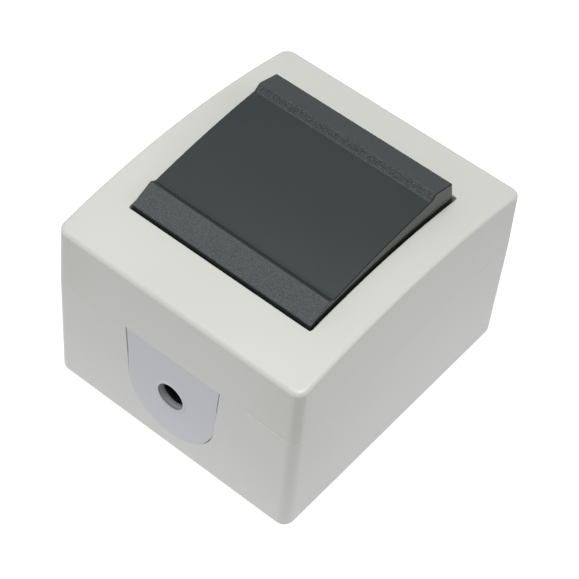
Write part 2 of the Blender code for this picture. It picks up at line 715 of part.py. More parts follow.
def make_insert(name, end, pierced, material):
    """A slide-in insert for the entry at this end (-1 or 1); the pierced one has the cable hole."""
    wall_inside = HALF_Y - BASE_WALL
    flange_front = wall_inside - SEAT
    flange_back = flange_front - FLANGE_THICKNESS

    def across(outline, place):
        return [Vector((x, end * place(z), z)) for x, z in outline]

    outline = inset(entry(0.0, BASE_TOP + SEAT), SEAT)
    shape = bmesh.new()
    outside = across(outline, lambda z: HALF_Y - base_draft(z))
    add_loft(shape, (outside, across(outline, lambda z: flange_back)))
    insert = make_part(name, shape, material)

    flange = bmesh.new()
    outline = entry(FLANGE_OVERLAP, TONGUE_TOP - SEAT)
    front = across(outline, lambda z: flange_front)
    add_loft(flange, (front, across(outline, lambda z: flange_back + BITE / 2)))
    join(insert, "flange", flange)

    tongue = bmesh.new()
    low, high = sorted((end * (flange_back + FLANGE_THICKNESS / 2), end * (HALF_Y - TONGUE_INSET)))
    half = ENTRY_TOP - 2 * SEAT
    add_block(tongue, (-half, low, BASE_TOP - RIB), (half, high, TONGUE_TOP))
    join(insert, "tongue", tongue)

    hollow = bmesh.new()
    outline = inset(entry(0.0, BASE_TOP - RIB), FLANGE_OVERLAP)
    face_back = HALF_Y - INSERT_FACE
    front = across(outline, lambda z: face_back - base_draft(z))
    add_loft(hollow, (front, across(outline, lambda z: flange_back - PAST)))
    cut(insert, "hollow", hollow)

    face = HALF_Y - base_draft(CABLE_HOLE_HEIGHT)
    hole_centre = (0.0, CABLE_HOLE_HEIGHT)
    bead = bmesh.new()
    half_width = (BEAD_WIDTH + BITE) / 2
    middle = CABLE_HOLE_RADIUS + BEAD_WIDTH - half_width
    profile = [(middle - half_width, -BITE), (middle + half_width, -BITE)]
    for step in range(BEAD_STEPS + 1):
        angle = math.pi * step / BEAD_STEPS
        profile.append((middle + half_width * math.cos(angle), BEAD_HEIGHT * math.sin(angle)))
    rings = []
    for radius, out in profile:
        outline = circle(radius, CABLE_HOLE_ROUND, hole_centre)
        rings.append(across(outline, lambda z, out=out: face + out))
    add_loft(bead, rings, closed=True)
    join(insert, "bead", bead)

    hole = bmesh.new()
    depth = face_back - PAST if pierced else face - INSERT_FACE + MEMBRANE
    outline = circle(CABLE_HOLE_RADIUS, CABLE_HOLE_ROUND, hole_centre)
    add_loft(hole, (across(outline, lambda z: face + PAST), across(outline, lambda z: depth)))
    cut(insert, "hole", hole)
    return insert


# Seals


def make_seal(name, half_x, half_y, radius, width, low, height, material):
    """A closed rectangular ring of seal round an inside of these half sizes."""
    high = low + height
    inside = rectangle(half_x, half_y, radius)
    outside = rectangle(half_x + width, half_y + width, radius + width)
    shape = bmesh.new()
    rings = (raised(inside, low), raised(outside, low), raised(outside, high), raised(inside, high))
    add_loft(shape, rings, closed=True)
    return make_part(name, shape, material)


def make_cover_gasket(material):
    """The gasket in the cover's rebate, on the base's tongue."""
    half_x = HALF_X - COVER_WALL
    half_y = HALF_Y - COVER_WALL
    width = COVER_WALL - TONGUE_INSET
    low = TONGUE_TOP + SEAT
    make_seal("cover_gasket", half_x, half_y, INNER_RADIUS, width, low, GASKET_HEIGHT, material)


def make_splash_seal(material):
    """The seal between the switch frame and the tray, round the tray's window."""
    half_x = WINDOW_X + LOOSE
    half_y = WINDOW_Y + LOOSE
    low = FRAME_TOP + SEAT
    make_seal("splash_seal", half_x, half_y, WINDOW_RADIUS, SEAL_WIDTH, low, SEAL_HEIGHT, material)


# Screws


def make_screw(name, place, seat, length, material):
    """A pan head screw with a cross recess; its head seats at this height."""
    shape = bmesh.new()
    under = seat + SEAT
    top = under + SCREW_HEAD_HEIGHT
    tip = seat - length
    profile = ((SCREW_TIP_RADIUS, tip), (SCREW_RADIUS, tip + SCREW_RADIUS), (SCREW_RADIUS, under))
    profile += ((SCREW_HEAD_RADIUS, under), (SCREW_HEAD_RADIUS, under + SCREW_HEAD_EDGE))
    profile += ((SCREW_CROWN_RADIUS, top),)
    add_turned(shape, profile, place, SMALL_ROUND)
    screw = make_part(name, shape, material)
    half = CROSS_WIDTH / 2
    reach = CROSS_LENGTH / 2
    quarter = ((half, half), (half, reach), (-half, reach))
    plus = []
    for _ in range(4):
        plus += quarter
        quarter = [(-y, x) for x, y in quarter]
    recess = bmesh.new()
    add_prism(recess, plus, top - CROSS_DEPTH, top + PAST, at=(place[0], place[1], 0.0))
    cut(screw, "cross", recess)
    return screw


# Mechanism


def make_frame(material):
    shape = bmesh.new()
    add_prism(shape, rectangle(FRAME_X, FRAME_Y, FRAME_RADIUS), FRAME_BOTTOM, FRAME_TOP)
    frame = make_part("mechanism_frame", shape, material)

    lugs = bmesh.new()
    for side in (-1, 1):
        outline = arc((LUG_X, 0.0), LUG_RADIUS, -math.pi / 2, math.pi, 8)
        outline += ((FRAME_X - BITE, LUG_RADIUS), (FRAME_X - BITE, -LUG_RADIUS))
        add_prism(lugs, [(side * x, y) for x, y in outline], FRAME_BOTTOM, FRAME_TOP)
    join(frame, "lugs", lugs)

    ears = bmesh.new()
    ear_inside = CRADLE_X + LOOSE
    for side in (-1, 1):
        outline = arc((0.0, PIVOT_HEIGHT), EAR_RADIUS, 0.0, math.pi, 10)
        outline += ((-EAR_RADIUS, FRAME_TOP - BITE), (EAR_RADIUS, FRAME_TOP - BITE))
        low, high = sorted((side * ear_inside, side * (ear_inside + EAR_THICKNESS)))
        add_prism(ears, outline, low, high, along="X")
    join(frame, "bearing_ears", ears)

    hooks = bmesh.new()
    leg = BODY_Y + SEAT
    for end in (-1, 1):
        root = FRAME_BOTTOM + BITE
        foot = FRAME_BOTTOM - HOOK_DROP
        barb = foot + 2 * HOOK_BARB
        corners = ((FRAME_Y, root), (leg, root), (leg, barb), (leg - HOOK_BARB, barb))
        corners += ((leg - HOOK_BARB, foot + HOOK_BARB), (leg, foot), (FRAME_Y, foot))
        outline = [(end * y, z) for y, z in corners]
        add_prism(hooks, outline, -HOOK_WIDTH / 2, HOOK_WIDTH / 2, along="X")
    join(frame, "snap_hooks", hooks)

    under = FRAME_BOTTOM - PAST
    above = FRAME_TOP + PAST
    window = bmesh.new()
    outline = rectangle(FRAME_WINDOW_X, FRAME_WINDOW_Y, WINDOW_RADIUS, EDGE_STEPS)
    add_prism(window, outline, under, above)
    cut(frame, "window", window)

    holes = bmesh.new()
    for place in FRAME_SCREW_PLACES:
        add_cylinder(holes, SCREW_HOLE, under, above, place, SMALL_ROUND)
    for place in TERMINAL_PLACES:
        add_cylinder(holes, ACCESS_RADIUS, under, above, place)
    cut(frame, "screw_holes", holes)

    bores = bmesh.new()
    bore = circle(TRUNNION_RADIUS + SEAT, ROUND, (0.0, PIVOT_HEIGHT))
    reach = ear_inside + EAR_THICKNESS + PAST
    add_prism(bores, bore, -reach, reach, along="X")
    cut(frame, "bearings", bores)
    return frame


def make_body(material):
    shape = bmesh.new()
    outline = rectangle(BODY_X, BODY_Y, 2 * INNER_RADIUS, EDGE_STEPS)
    add_prism(shape, outline, BODY_BOTTOM, BODY_TOP)
    body = make_part("mechanism_body", shape, material)

    top = BODY_TOP + PAST
    pocket_y = BODY_Y - BODY_WALL
    pocket_x = BODY_X - BODY_WALL
    side_low = pocket_y - TERMINAL_POCKET
    arm_pocket = bmesh.new()
    add_block(arm_pocket, (-ARM_POCKET, -pocket_y, POCKET_FLOOR), (ARM_POCKET, pocket_y, top))
    cut(body, "arm_pocket", arm_pocket)
    switched = bmesh.new()
    for end in (-1, 1):
        low, high = sorted((end * side_low, end * pocket_y))
        add_block(switched, (-pocket_x, low, POCKET_FLOOR), (0.0, high, top))
    cut(body, "switched_pockets", switched)
    common = bmesh.new()
    lane = CHEEK_WIDTH / 2 + LOOSE
    side = TERMINAL_X - STRIP_WIDTH / 2 - LOOSE
    outline = ((0.0, -lane), (side, -lane), (side, -pocket_y), (pocket_x, -pocket_y))
    outline += ((pocket_x, lane), (0.0, lane))
    add_prism(common, outline, POCKET_FLOOR, top)
    cut(body, "common_pocket", common)

    openings = bmesh.new()
    half = WIRE_SLOT / 2
    sill = STRIP_TOP + SEAT / 2
    for x, y in TERMINAL_PLACES:
        end = math.copysign(1, y)
        low, high = sorted((end * (pocket_y - BITE), end * (BODY_Y + PAST)))
        add_block(openings, (x - half, low, sill), (x + half, high, top))
    half = HOOK_WIDTH / 2 + SEAT
    foot = FRAME_BOTTOM - HOOK_DROP
    for end in (-1, 1):
        low, high = sorted((end * (BODY_Y - HOOK_BARB), end * (BODY_Y + PAST)))
        add_block(openings, (-half, low, foot), (half, high, foot + 2 * HOOK_BARB + SEAT))
    cut(body, "wire_slots", openings)

    wells = bmesh.new()
    top = POCKET_FLOOR + PAST
    foot = TERMINAL_SCREW_SEAT - TERMINAL_SCREW_LENGTH - PAST
    for place in TERMINAL_PLACES:
        add_cylinder(wells, SCREW_HOLE, foot, top, place, SMALL_ROUND)
    foot = POCKET_FLOOR - STRIP - SEAT
    relief = RIVET_RADIUS + RIVET_FLARE + 2 * SEAT
    for end in (-1, 1):
        add_cylinder(wells, relief, foot, top, (0.0, end * CONTACT_Y), SMALL_ROUND)
    cut(body, "wells", wells)
    return body


def make_common_strip(material):
    """A stamped strip from the common terminal to the arm's two bearing cheeks."""
    half = CHEEK_WIDTH / 2
    inside = ARM_WIDTH / 2 + CHEEK_GAP
    outside = inside + STRIP
    low_x = TERMINAL_X - STRIP_WIDTH / 2
    high_x = TERMINAL_X + STRIP_WIDTH / 2
    end = -TERMINAL_Y - STRIP_WIDTH / 2
    outline = ((-outside, -half), (low_x, -half), (low_x, end), (high_x, end))
    outline += ((high_x, half), (-outside, half))
    shape = bmesh.new()
    add_prism(shape, outline, STRIP_BOTTOM, STRIP_TOP)
    strip = make_part("common_strip", shape, material)

    notch = EAR_TAB + SEAT
    notch_floor = ARM_PIVOT_HEIGHT - STRIP / 2 - SEAT
    cheek_top = ARM_PIVOT_HEIGHT + 2 * STRIP
    foot = STRIP_BOTTOM + BITE
    right = [(half, foot), (half, cheek_top), (notch, cheek_top), (notch, notch_floor)]
    profile = right + [(-y, z) for y, z in reversed(right)]
    cheeks = bmesh.new()
    for side in (-1, 1):
        low, high = sorted((side * inside, side * (outside - BITE / 4)))
        add_prism(cheeks, profile, low, high, along="X")
    join(strip, "bearing_cheeks", cheeks)

    hole = bmesh.new()
    above = STRIP_TOP + PAST
    add_cylinder(hole, SCREW_HOLE, STRIP_BOTTOM - PAST, above, COMMON_PLACE, SMALL_ROUND)
    cut(strip, "screw_hole", hole)
    return strip


def make_switched_strip(name, place, material):
    x, y = place
    shape = bmesh.new()
    half = STRIP_WIDTH / 2
    add_block(shape, (x - half, y - half, STRIP_BOTTOM), (half, y + half, STRIP_TOP))
    strip = make_part(name, shape, material)
    holes = bmesh.new()
    under = STRIP_BOTTOM - PAST
    above = STRIP_TOP + PAST
    contact = (0.0, math.copysign(CONTACT_Y, y))
    add_cylinder(holes, SCREW_HOLE, under, above, place, SMALL_ROUND)
    add_cylinder(holes, RIVET_RADIUS + SEAT, under, above, contact, SMALL_ROUND)
    cut(strip, "holes", holes)
    return strip


def make_rivet(name, y, seat, facing, material, parent=None):
    """A contact rivet: its head on the strip's face at this height, its tail through the metal."""
    near = seat + facing * SEAT
    far = near + facing * CONTACT_HEIGHT
    tail = seat - facing * (STRIP + SEAT)
    flare = RIVET_RADIUS + RIVET_FLARE
    profile = ((CONTACT_RADIUS - CONTACT_EDGE, far), (CONTACT_RADIUS, far - facing * CONTACT_EDGE))
    profile += ((CONTACT_RADIUS, near), (RIVET_RADIUS, near), (RIVET_RADIUS, tail))
    profile += ((flare, tail), (flare, tail - facing * SEAT))
    shape = bmesh.new()
    add_turned(shape, profile, (0.0, y), SMALL_ROUND)
    return make_part(name, shape, material, parent)


def make_washer(name, place, material):
    half = WASHER_SIZE / 2
    top = WASHER_BOTTOM + WASHER_THICKNESS
    shape = bmesh.new()
    outline = rectangle(half, half, INNER_RADIUS, 1)
    add_prism(shape, outline, WASHER_BOTTOM, top, at=(place[0], place[1], 0.0))
    washer = make_part(name, shape, material)
    hole = bmesh.new()
    add_cylinder(hole, SCREW_HOLE, WASHER_BOTTOM - PAST, top + PAST, place, SMALL_ROUND)
    cut(washer, "hole", hole)
    return washer


def make_arm(parent, material):
    """The see-saw: a strip with a shallow dip that catches the plunger, and two bearing tabs."""
    top = ((-ARM_LENGTH, ARM_FLAT_TOP), (-ARM_DIP_LENGTH, ARM_FLAT_TOP), (0.0, STRIP / 2))
    top += ((ARM_DIP_LENGTH, ARM_FLAT_TOP), (ARM_LENGTH, ARM_FLAT_TOP))
    bottom = [(y, z - STRIP) for y, z in reversed(top)]
    shape = bmesh.new()
    add_prism(shape, list(top) + bottom, -ARM_WIDTH / 2, ARM_WIDTH / 2, along="X")
    arm = make_part("contact_arm", shape, material, parent)
    tabs = bmesh.new()
    reach = ARM_WIDTH / 2 + CHEEK_GAP + STRIP + CHEEK_GAP
    for side in (-1, 1):
        low, high = sorted((side * (ARM_WIDTH / 2 - BITE), side * reach))
        add_block(tabs, (low, -EAR_TAB, BITE / 2 - STRIP / 2), (high, EAR_TAB, STRIP / 2 - BITE / 2))
    join(arm, "bearing_tabs", tabs)
    holes = bmesh.new()
    under = ARM_FLAT_BOTTOM - PAST
    above = ARM_FLAT_TOP + PAST
    for end in (-1, 1):
        place = (0.0, end * CONTACT_Y)
        add_cylinder(holes, RIVET_RADIUS + SEAT, under, above, place, SMALL_ROUND)
    cut(arm, "rivet_holes", holes)
    return arm


# Rocker and what turns with it


def rocker_outline():
    """The rocker's side view about its pivot, level: end faces, lips, ridges and the curved panel."""
    sine = math.sin(ROCKER_TILT)
    foot = (OPENING_Y - ROCKER_END_GAP - ROCKER_SKIRT * sine) / math.cos(ROCKER_TILT)
    shoulder = foot - (ROCKER_SHOULDER - ROCKER_SKIRT) * math.tan(ROCKER_TILT)
    crest = shoulder - LIP_LENGTH
    panel_end = crest - RIDGE_STEP
    radius = (panel_end**2 + PANEL_RISE**2) / (2 * PANEL_RISE)
    half_angle = math.asin(panel_end / radius)
    centre = (0.0, PANEL_EDGE + PANEL_RISE - radius)
    right = [(foot, ROCKER_SKIRT, 0.0), (shoulder, ROCKER_SHOULDER, SHOULDER_ROUND)]
    right += [(crest, ROCKER_CREST, CREST_ROUND), (panel_end, PANEL_EDGE, STEP_ROUND)]
    panel = arc(centre, radius, math.pi / 2 - half_angle, 2 * half_angle, PANEL_STEPS)[1:-1]
    left = [(-y, z, round_) for y, z, round_ in reversed(right)]
    return rounded(right + [(y, z, 0.0) for y, z in panel] + left)


def make_rocker(parent, material):
    half_x = OPENING_X - ROCKER_SIDE_GAP
    outline = rocker_outline()
    rings = []
    for side in (-1, 1):
        for step in range(EDGE_STEPS + 1):
            along = step if side < 0 else EDGE_STEPS - step
            angle = along / EDGE_STEPS * math.pi / 2
            inward = ROCKER_SIDE_ROUND * (1 - math.sin(angle))
            x = side * (half_x - ROCKER_SIDE_ROUND * (1 - math.cos(angle)))
            rings.append([Vector((x, y, z)) for y, z in inset(outline, inward)])
    shape = bmesh.new()
    add_loft(shape, rings)
    rocker = make_part("rocker", shape, material, parent)

    foot = outline[0][0] - ROCKER_WALL
    shoulder = foot - ROCKER_WALL / 2
    ceiling = PANEL_EDGE - ROCKER_WALL
    knee = shoulder - LIP_LENGTH / 2
    corners = [(foot, ROCKER_SKIRT - PAST), (shoulder, ceiling - ROCKER_WALL / 2), (knee, ceiling)]
    corners += [(-y, z) for y, z in reversed(corners)]
    hollow = bmesh.new()
    add_prism(hollow, corners, ROCKER_WALL - half_x, half_x - ROCKER_WALL, along="X")
    cut(rocker, "hollow", hollow)

    inside = bmesh.new()
    seat = CRADLE_THICKNESS / 2 + SEAT
    roof = ceiling + BITE
    for side in (-1, 1):
        low = side * (CRADLE_X - RIB_INSET) - RIB / 2
        add_block(inside, (low, SEAT - CRADLE_Y, seat), (low + RIB, CRADLE_Y - SEAT, roof))
        stiffener = knee - RIB
        low_y, high_y = sorted((side * (stiffener - RIB), side * stiffener))
        reach = half_x - ROCKER_WALL + BITE
        add_block(inside, (-reach, low_y, roof - 2 * RIB), (reach, high_y, roof))
        near = CRADLE_Y + SEAT
        hook = -CRADLE_THICKNESS / 2 - SEAT
        far = near + CLIP_THICKNESS
        corners = ((near, roof), (near, hook), (near - CLIP_HOOK, hook), (near, hook - CLIP_HOOK))
        corners += ((far, hook - CLIP_HOOK), (far, roof))
        clip = [(side * y, z) for y, z in corners]
        add_prism(inside, clip, -CLIP_WIDTH / 2, CLIP_WIDTH / 2, along="X")
    join(rocker, "ribs_and_clips", inside)
    return rocker


def make_cradle(parent, material):
    half = CRADLE_THICKNESS / 2
    shape = bmesh.new()
    outline = rectangle(CRADLE_X, CRADLE_Y, 2 * INNER_RADIUS, EDGE_STEPS)
    add_prism(shape, outline, -half, half)
    cradle = make_part("rocker_cradle", shape, material, parent)
    trunnions = bmesh.new()
    pin = circle(TRUNNION_RADIUS, TRUNNION_ROUND)
    reach = CRADLE_X + LOOSE + EAR_THICKNESS + SEAT
    for side in (-1, 1):
        low, high = sorted((side * (CRADLE_X - BITE), side * reach))
        add_prism(trunnions, pin, low, high, along="X")
    join(cradle, "trunnions", trunnions)
    stem = bmesh.new()
    add_cylinder(stem, STEM_RADIUS, -STEM_LENGTH, BITE - half)
    join(cradle, "stem", stem)
    bore = bmesh.new()
    add_cylinder(bore, PLUNGER_RADIUS + SEAT, -STEM_LENGTH - PAST, BORE_TOP)
    cut(cradle, "bore", bore)
    return cradle


def make_plunger(parent, material):
    tip = -plunger_reach()
    nose_centre = tip + NOSE_RADIUS
    shoulder = nose_centre + NOSE_RADIUS
    edge = SPRING_WIRE
    profile = [(PLUNGER_RADIUS - edge, -PLUNGER_TOP), (PLUNGER_RADIUS, -PLUNGER_TOP - edge)]
    profile += [(PLUNGER_RADIUS, shoulder), (NOSE_RADIUS, nose_centre)]
    for step in range(1, NOSE_STEPS):
        angle = step / NOSE_STEPS * math.pi / 2
        drop = NOSE_RADIUS * math.sin(angle)
        profile.append((NOSE_RADIUS * math.cos(angle), nose_centre - drop))
    profile.append((NOSE_FLAT, tip))
    shape = bmesh.new()
    add_turned(shape, profile, steps=TRUNNION_ROUND)
    return make_part("plunger", shape, material, parent)


def make_spring(parent, material):
    radius = PLUNGER_RADIUS - SPRING_WIRE / 2
    high = BORE_TOP - SEAT - SPRING_WIRE / 2
    low = -PLUNGER_TOP + SEAT + SPRING_WIRE / 2
    total = SPRING_TURNS * SPRING_STEPS
    curve = bpy.data.curves.new("plunger_spring", "CURVE")
    curve.dimensions = "3D"
    curve.bevel_depth = SPRING_WIRE / 2
    curve.bevel_resolution = 1
    curve.use_fill_caps = True
    line = curve.splines.new("POLY")
    line.points.add(total)
    for step in range(total + 1):
        angle = math.tau * step / SPRING_STEPS
        height = low + (high - low) * step / total
        line.points[step].co = (radius * math.cos(angle), radius * math.sin(angle), height, 1.0)
    curve.materials.append(material)
    spring = bpy.data.objects.new("plunger_spring", curve)
    spring.parent = parent
    bpy.context.collection.objects.link(spring)
    return spring


def clear_scene():
    for thing in list(bpy.data.objects):
        bpy.data.objects.remove(thing, do_unlink=True)


def main():
    clear_scene()
    materials = make_materials()
    make_base(materials["housing"])
    make_cover(materials["housing"])
    make_insert("cable_insert", -1, True, materials["insert"])
    make_insert("blank_insert", 1, False, materials["insert"])
    make_cover_gasket(materials["rubber"])
    make_splash_seal(materials["rubber"])
    steel = materials["steel"]
    for number, place in enumerate(COVER_SCREW_PLACES, 1):
        make_screw(f"cover_screw_{number}", place, COVER_SCREW_SEAT, COVER_SCREW_LENGTH, steel)
    for number, place in enumerate(FRAME_SCREW_PLACES, 1):
        make_screw(f"mechanism_screw_{number}", place, FRAME_TOP, FRAME_SCREW_LENGTH, steel)

    make_body(materials["mechanism"])
    make_frame(materials["mechanism"])
    make_common_strip(materials["brass"])
    for number, place in enumerate(TERMINAL_PLACES, 1):
        make_washer(f"clamp_washer_{number}", place, steel)
        name = f"terminal_screw_{number}"
        make_screw(name, place, TERMINAL_SCREW_SEAT, TERMINAL_SCREW_LENGTH, steel)
    silver = materials["silver"]
    for number, place in enumerate(SWITCHED_PLACES, 1):
        make_switched_strip(f"switched_strip_{number}", place, materials["brass"])
        contact_y = math.copysign(CONTACT_Y, place[1])
        make_rivet(f"fixed_contact_{number}", contact_y, STRIP_TOP, 1, silver)

    arm_axis = make_axis("arm_axis", ARM_PIVOT_HEIGHT, -ARM_TILT)
    make_arm(arm_axis, materials["brass"])
    for number, end in enumerate((-1, 1), 1):
        name = f"moving_contact_{number}"
        make_rivet(name, end * CONTACT_Y, ARM_FLAT_BOTTOM, -1, silver, arm_axis)

    rocker_axis = make_axis("rocker_axis", PIVOT_HEIGHT, ROCKER_TILT)
    make_rocker(rocker_axis, materials["rocker"])
    make_cradle(rocker_axis, materials["cradle"])
    make_plunger(rocker_axis, materials["cradle"])
    make_spring(rocker_axis, steel)

    smooth = smooth_by_angle()
    for part in list(bpy.data.objects):
        if part.type == "MESH" and not part.hide_render:
            part.modifiers.new("smooth", "NODES").node_group = smooth


main()
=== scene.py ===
"""The looks of a surface mounted light switch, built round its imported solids.

Metres, +Z out of the wall, the origin in the middle of the back. The script is laid out as an
add-on: its operators build one piece or group of pieces each, and main() calls them in order.
"""

import json
from math import acos, asin, atan2, copysign, cos, degrees, hypot, pi, radians, sin, sqrt, tan, tau

import bmesh
import bpy
from mathutils import Matrix, Vector

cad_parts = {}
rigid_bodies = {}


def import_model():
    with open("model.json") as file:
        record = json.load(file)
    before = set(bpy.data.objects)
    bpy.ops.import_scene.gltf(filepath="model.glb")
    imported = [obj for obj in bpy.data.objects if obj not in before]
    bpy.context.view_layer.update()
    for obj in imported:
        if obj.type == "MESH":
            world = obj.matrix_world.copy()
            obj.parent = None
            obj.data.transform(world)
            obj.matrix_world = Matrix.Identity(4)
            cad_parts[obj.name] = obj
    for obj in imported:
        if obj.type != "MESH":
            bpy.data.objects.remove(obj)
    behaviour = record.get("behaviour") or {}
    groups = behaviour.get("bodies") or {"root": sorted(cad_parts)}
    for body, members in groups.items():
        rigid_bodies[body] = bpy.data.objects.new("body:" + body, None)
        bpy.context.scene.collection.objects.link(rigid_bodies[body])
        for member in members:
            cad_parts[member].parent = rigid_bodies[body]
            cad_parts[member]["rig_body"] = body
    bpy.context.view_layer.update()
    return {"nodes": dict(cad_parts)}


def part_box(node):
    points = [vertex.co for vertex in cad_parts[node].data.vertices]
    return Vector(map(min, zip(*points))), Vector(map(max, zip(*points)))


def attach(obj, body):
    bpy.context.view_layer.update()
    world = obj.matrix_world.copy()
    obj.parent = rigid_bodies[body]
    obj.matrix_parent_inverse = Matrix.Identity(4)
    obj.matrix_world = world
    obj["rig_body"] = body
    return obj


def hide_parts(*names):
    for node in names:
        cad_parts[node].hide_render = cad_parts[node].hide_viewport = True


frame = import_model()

bl_info = {
    "name": "Surface Light Switch",
    "version": (1, 0, 0),
    "blender": (4, 5, 0),
    "location": "3D View > Sidebar > Light Switch",
    "description": "Builds the finished looks of a surface mounted light switch",
    "category": "Object",
}

HALF_X, HALF_Y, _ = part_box("cover")[1]

# Joint of the two shells, and the hidden forms inside the cover
TONGUE_WIDTH = 0.0010
TONGUE_TOP = 0.0313
REBATE_TOP = 0.0329
BASE_WALL = 0.0022
BASE_FLOOR = 0.0025
COVER_WALL = 0.0020
COVER_ROOF = 0.0022
INNER_RADIUS = 0.0005
SEAT = 0.0003
TRAY_FLOOR = 0.0015
HEAD_RECESS = 0.0018
COLLAR_WALL = 0.0012
WINDOW_X = 0.0172
WINDOW_Y = 0.0124
WINDOW_RADIUS = 0.0015
SCREW_HOLE = 0.00175
SCREW_HEAD_HOLE = 0.0031
TUBE_WALL = 0.0011
BOSS_WALL = 0.0018
RIB = 0.0012

# Screw bosses of the base: their places, their tops, and the floors and tops of their holes
COVER_SCREW_PLACES = ((0.0195, -0.02002), (-0.0195, 0.02002))
FRAME_SCREW_PLACES = ((0.0235, 0.0), (-0.0235, 0.0))
BOSSES = ((COVER_SCREW_PLACES, 0.0298, 0.0152, 0.0310), (FRAME_SCREW_PLACES, 0.0330, 0.0220, 0.0350))
GUSSET_TOP = 0.0238
BODY_REST_X = 0.0150
BODY_REST_Y = 0.0100

# Cable entries and the back
FLANGE_OVERLAP = 0.0018
FLANGE_THICKNESS = 0.0012
RAIL_TOP = 0.0295
INSERT_FACE = 0.0017
MEMBRANE = 0.0007
EDGE_BREAK = 0.00003
FIXING_Y = 0.0240
FIXING_SLOT = (0.0080, 0.0040)
FIXING_BREAK = 0.0003
FIXING_PAD = (0.0104, 0.0064)
FIXING_PAD_HEIGHT = 0.0010
MARK_X = 0.0225
MARK_Y = 0.0270
MARK_RADIUS = 0.0025
MARK_DEPTH = 0.00008
KNOCK_OUT_DEPTH = 0.0014
KNOCK_OUT_RADII = (0.00920, 0.00935, 0.00985, 0.0100)

# Steps
CORNER_STEPS = 12
FILLET_STEPS = 10
BREAK_STEPS = 4
EDGE_STEPS = 6
PAN_STEPS = 8
BEAD_STEPS = 12
RIDGE_STEPS = 8
CROWN_STEPS = 56
END_STEPS = 24
RIM_ROWS = 12
PANEL_STEPS = 40
ENTRY_STEPS = 48
ROUND = 48
FINE_ROUND = 96
HOLE_ROUND = 32
THREAD_ROUND = 28
ROWS_PER_TURN = 9
BITE = 0.0002
PAST = 0.0010


# Sizes and colours that a user would change


def number(name, description, default, **more):
    return bpy.props.FloatProperty(
        name=name, description=description, default=default, min=0.0, **more)


def length(name, description, default):
    return number(name, description, default, precision=5, subtype="DISTANCE", unit="LENGTH")


def share(name, description, default):
    return number(name, description, default, max=1.0, subtype="FACTOR")


def angle(name, description, default):
    return bpy.props.FloatProperty(
        name=name, description=description, default=radians(default), precision=3,
        subtype="ANGLE", unit="ROTATION")


def colour(name, description, default):
    return bpy.props.FloatVectorProperty(
        name=name, description=description, default=default, size=3, min=0.0, max=1.0,
        subtype="COLOR")


class HousingSettings(bpy.types.PropertyGroup):
    """The two shells of the box"""

    parting_height: length("Parting line", "Height at which the two shells meet", 0.02995)
    parting_gap: length("Parting gap", "Opening between the two shells", 0.00001)
    edge_break: length("Edge break", "Rounding beside the parting line", 0.00003)
    set_back: length("Set-back", "Where the cover's foot stands back from the base", 0.00022)
    shoulder: length("Shoulder height", "Top of the cover at its two ends", 0.0456)
    crown_rise: length("Crown", "Rise of the cover's middle above its ends", 0.0040)
    corner_radius: length("Corner radius", "Radius of the upright corners", 0.0026)
    top_fillet: length("Top fillet", "Radius of the cover's top edge", 0.0010)
    back_fillet: length("Back fillet", "Radius of the base's back edge", 0.0008)
    cover_draft: angle("Cover draft", "Lean of the cover's sides", 0.86)
    base_draft: angle("Base draft", "Lean of the base's sides", 0.30)
    opening_x: length("Opening across", "Half the rocker's opening along X", 0.02436)
    opening_y: length("Opening along", "Half the rocker's opening along Y", 0.02462)
    opening_radius: length("Opening corners", "Corner radius of the opening", 0.0005)
    opening_edge: length("Opening edge", "Rounding of the opening's edge", 0.00018)
    tray_depth: length("Tray depth", "From the shoulder down to the tray", 0.0056)


class EntrySettings(bpy.types.PropertyGroup):
    """The cable entries and their inserts"""

    half_width: length("Half width", "Half the entry's width at the parting line", 0.0130)
    radius: length("Radius", "Radius of the entry's round foot", 0.0120)
    centre_height: length("Centre height", "Height of that round's centre", 0.0166)
    hole_radius: length("Cable hole", "Radius of the cable hole", 0.0035)
    hole_height: length("Hole height", "Height of the cable hole's centre", 0.0175)
    bead_width: length("Bead width", "Width of the bead round the hole", 0.0006)
    bead_height: length("Bead height", "How far the bead stands out", 0.00020)
    groove: length("Groove", "Depth of the groove in the hole's wall", 0.00020)
    gap: length("Gap", "Least gap round an insert", 0.00001)
    loose_gap: length("Loose gap", "Gap where an insert sits loosely", 0.00032)


class RockerSettings(bpy.types.PropertyGroup):
    """The rocker, measured from its pivot"""

    pivot_height: length("Pivot height", "Height of the pivot above the back", 0.0432)
    tilt: angle("Tilt", "How far the far end is raised", 6.35)
    side_gap: length("Side gap", "Gap beside the rocker", 0.00045)
    end_gap: length("End gap", "Gap at the rocker's two ends", 0.00060)
    skirt: length("Skirt", "Lower edge above the pivot", 0.0010)
    shoulder: length("Shoulder", "Outer edge of the lips above the pivot", 0.0081)
    crest: length("Crest", "Top of the ridges above the pivot", 0.01025)
    panel_edge: length("Panel edge", "Panel at the foot of the ridges", 0.0091)
    panel_rise: length("Panel rise", "Rise of the panel's middle", 0.0006)
    lip: length("Lip", "Length of a lip", 0.0058)
    step: length("Step", "Run of the slope from a ridge to the panel", 0.0015)
    wall: length("Wall", "Wall thickness", 0.0018)
    side_round: length("Side round", "Rounding of the side edges", 0.00025)
    shoulder_round: length("Shoulder round", "Rounding of the lips' outer edges", 0.00035)
    crest_round: length("Crest round", "Rounding of the ridges", 0.0007)
    foot_round: length("Foot round", "Hollow where a ridge meets the panel", 0.0014)


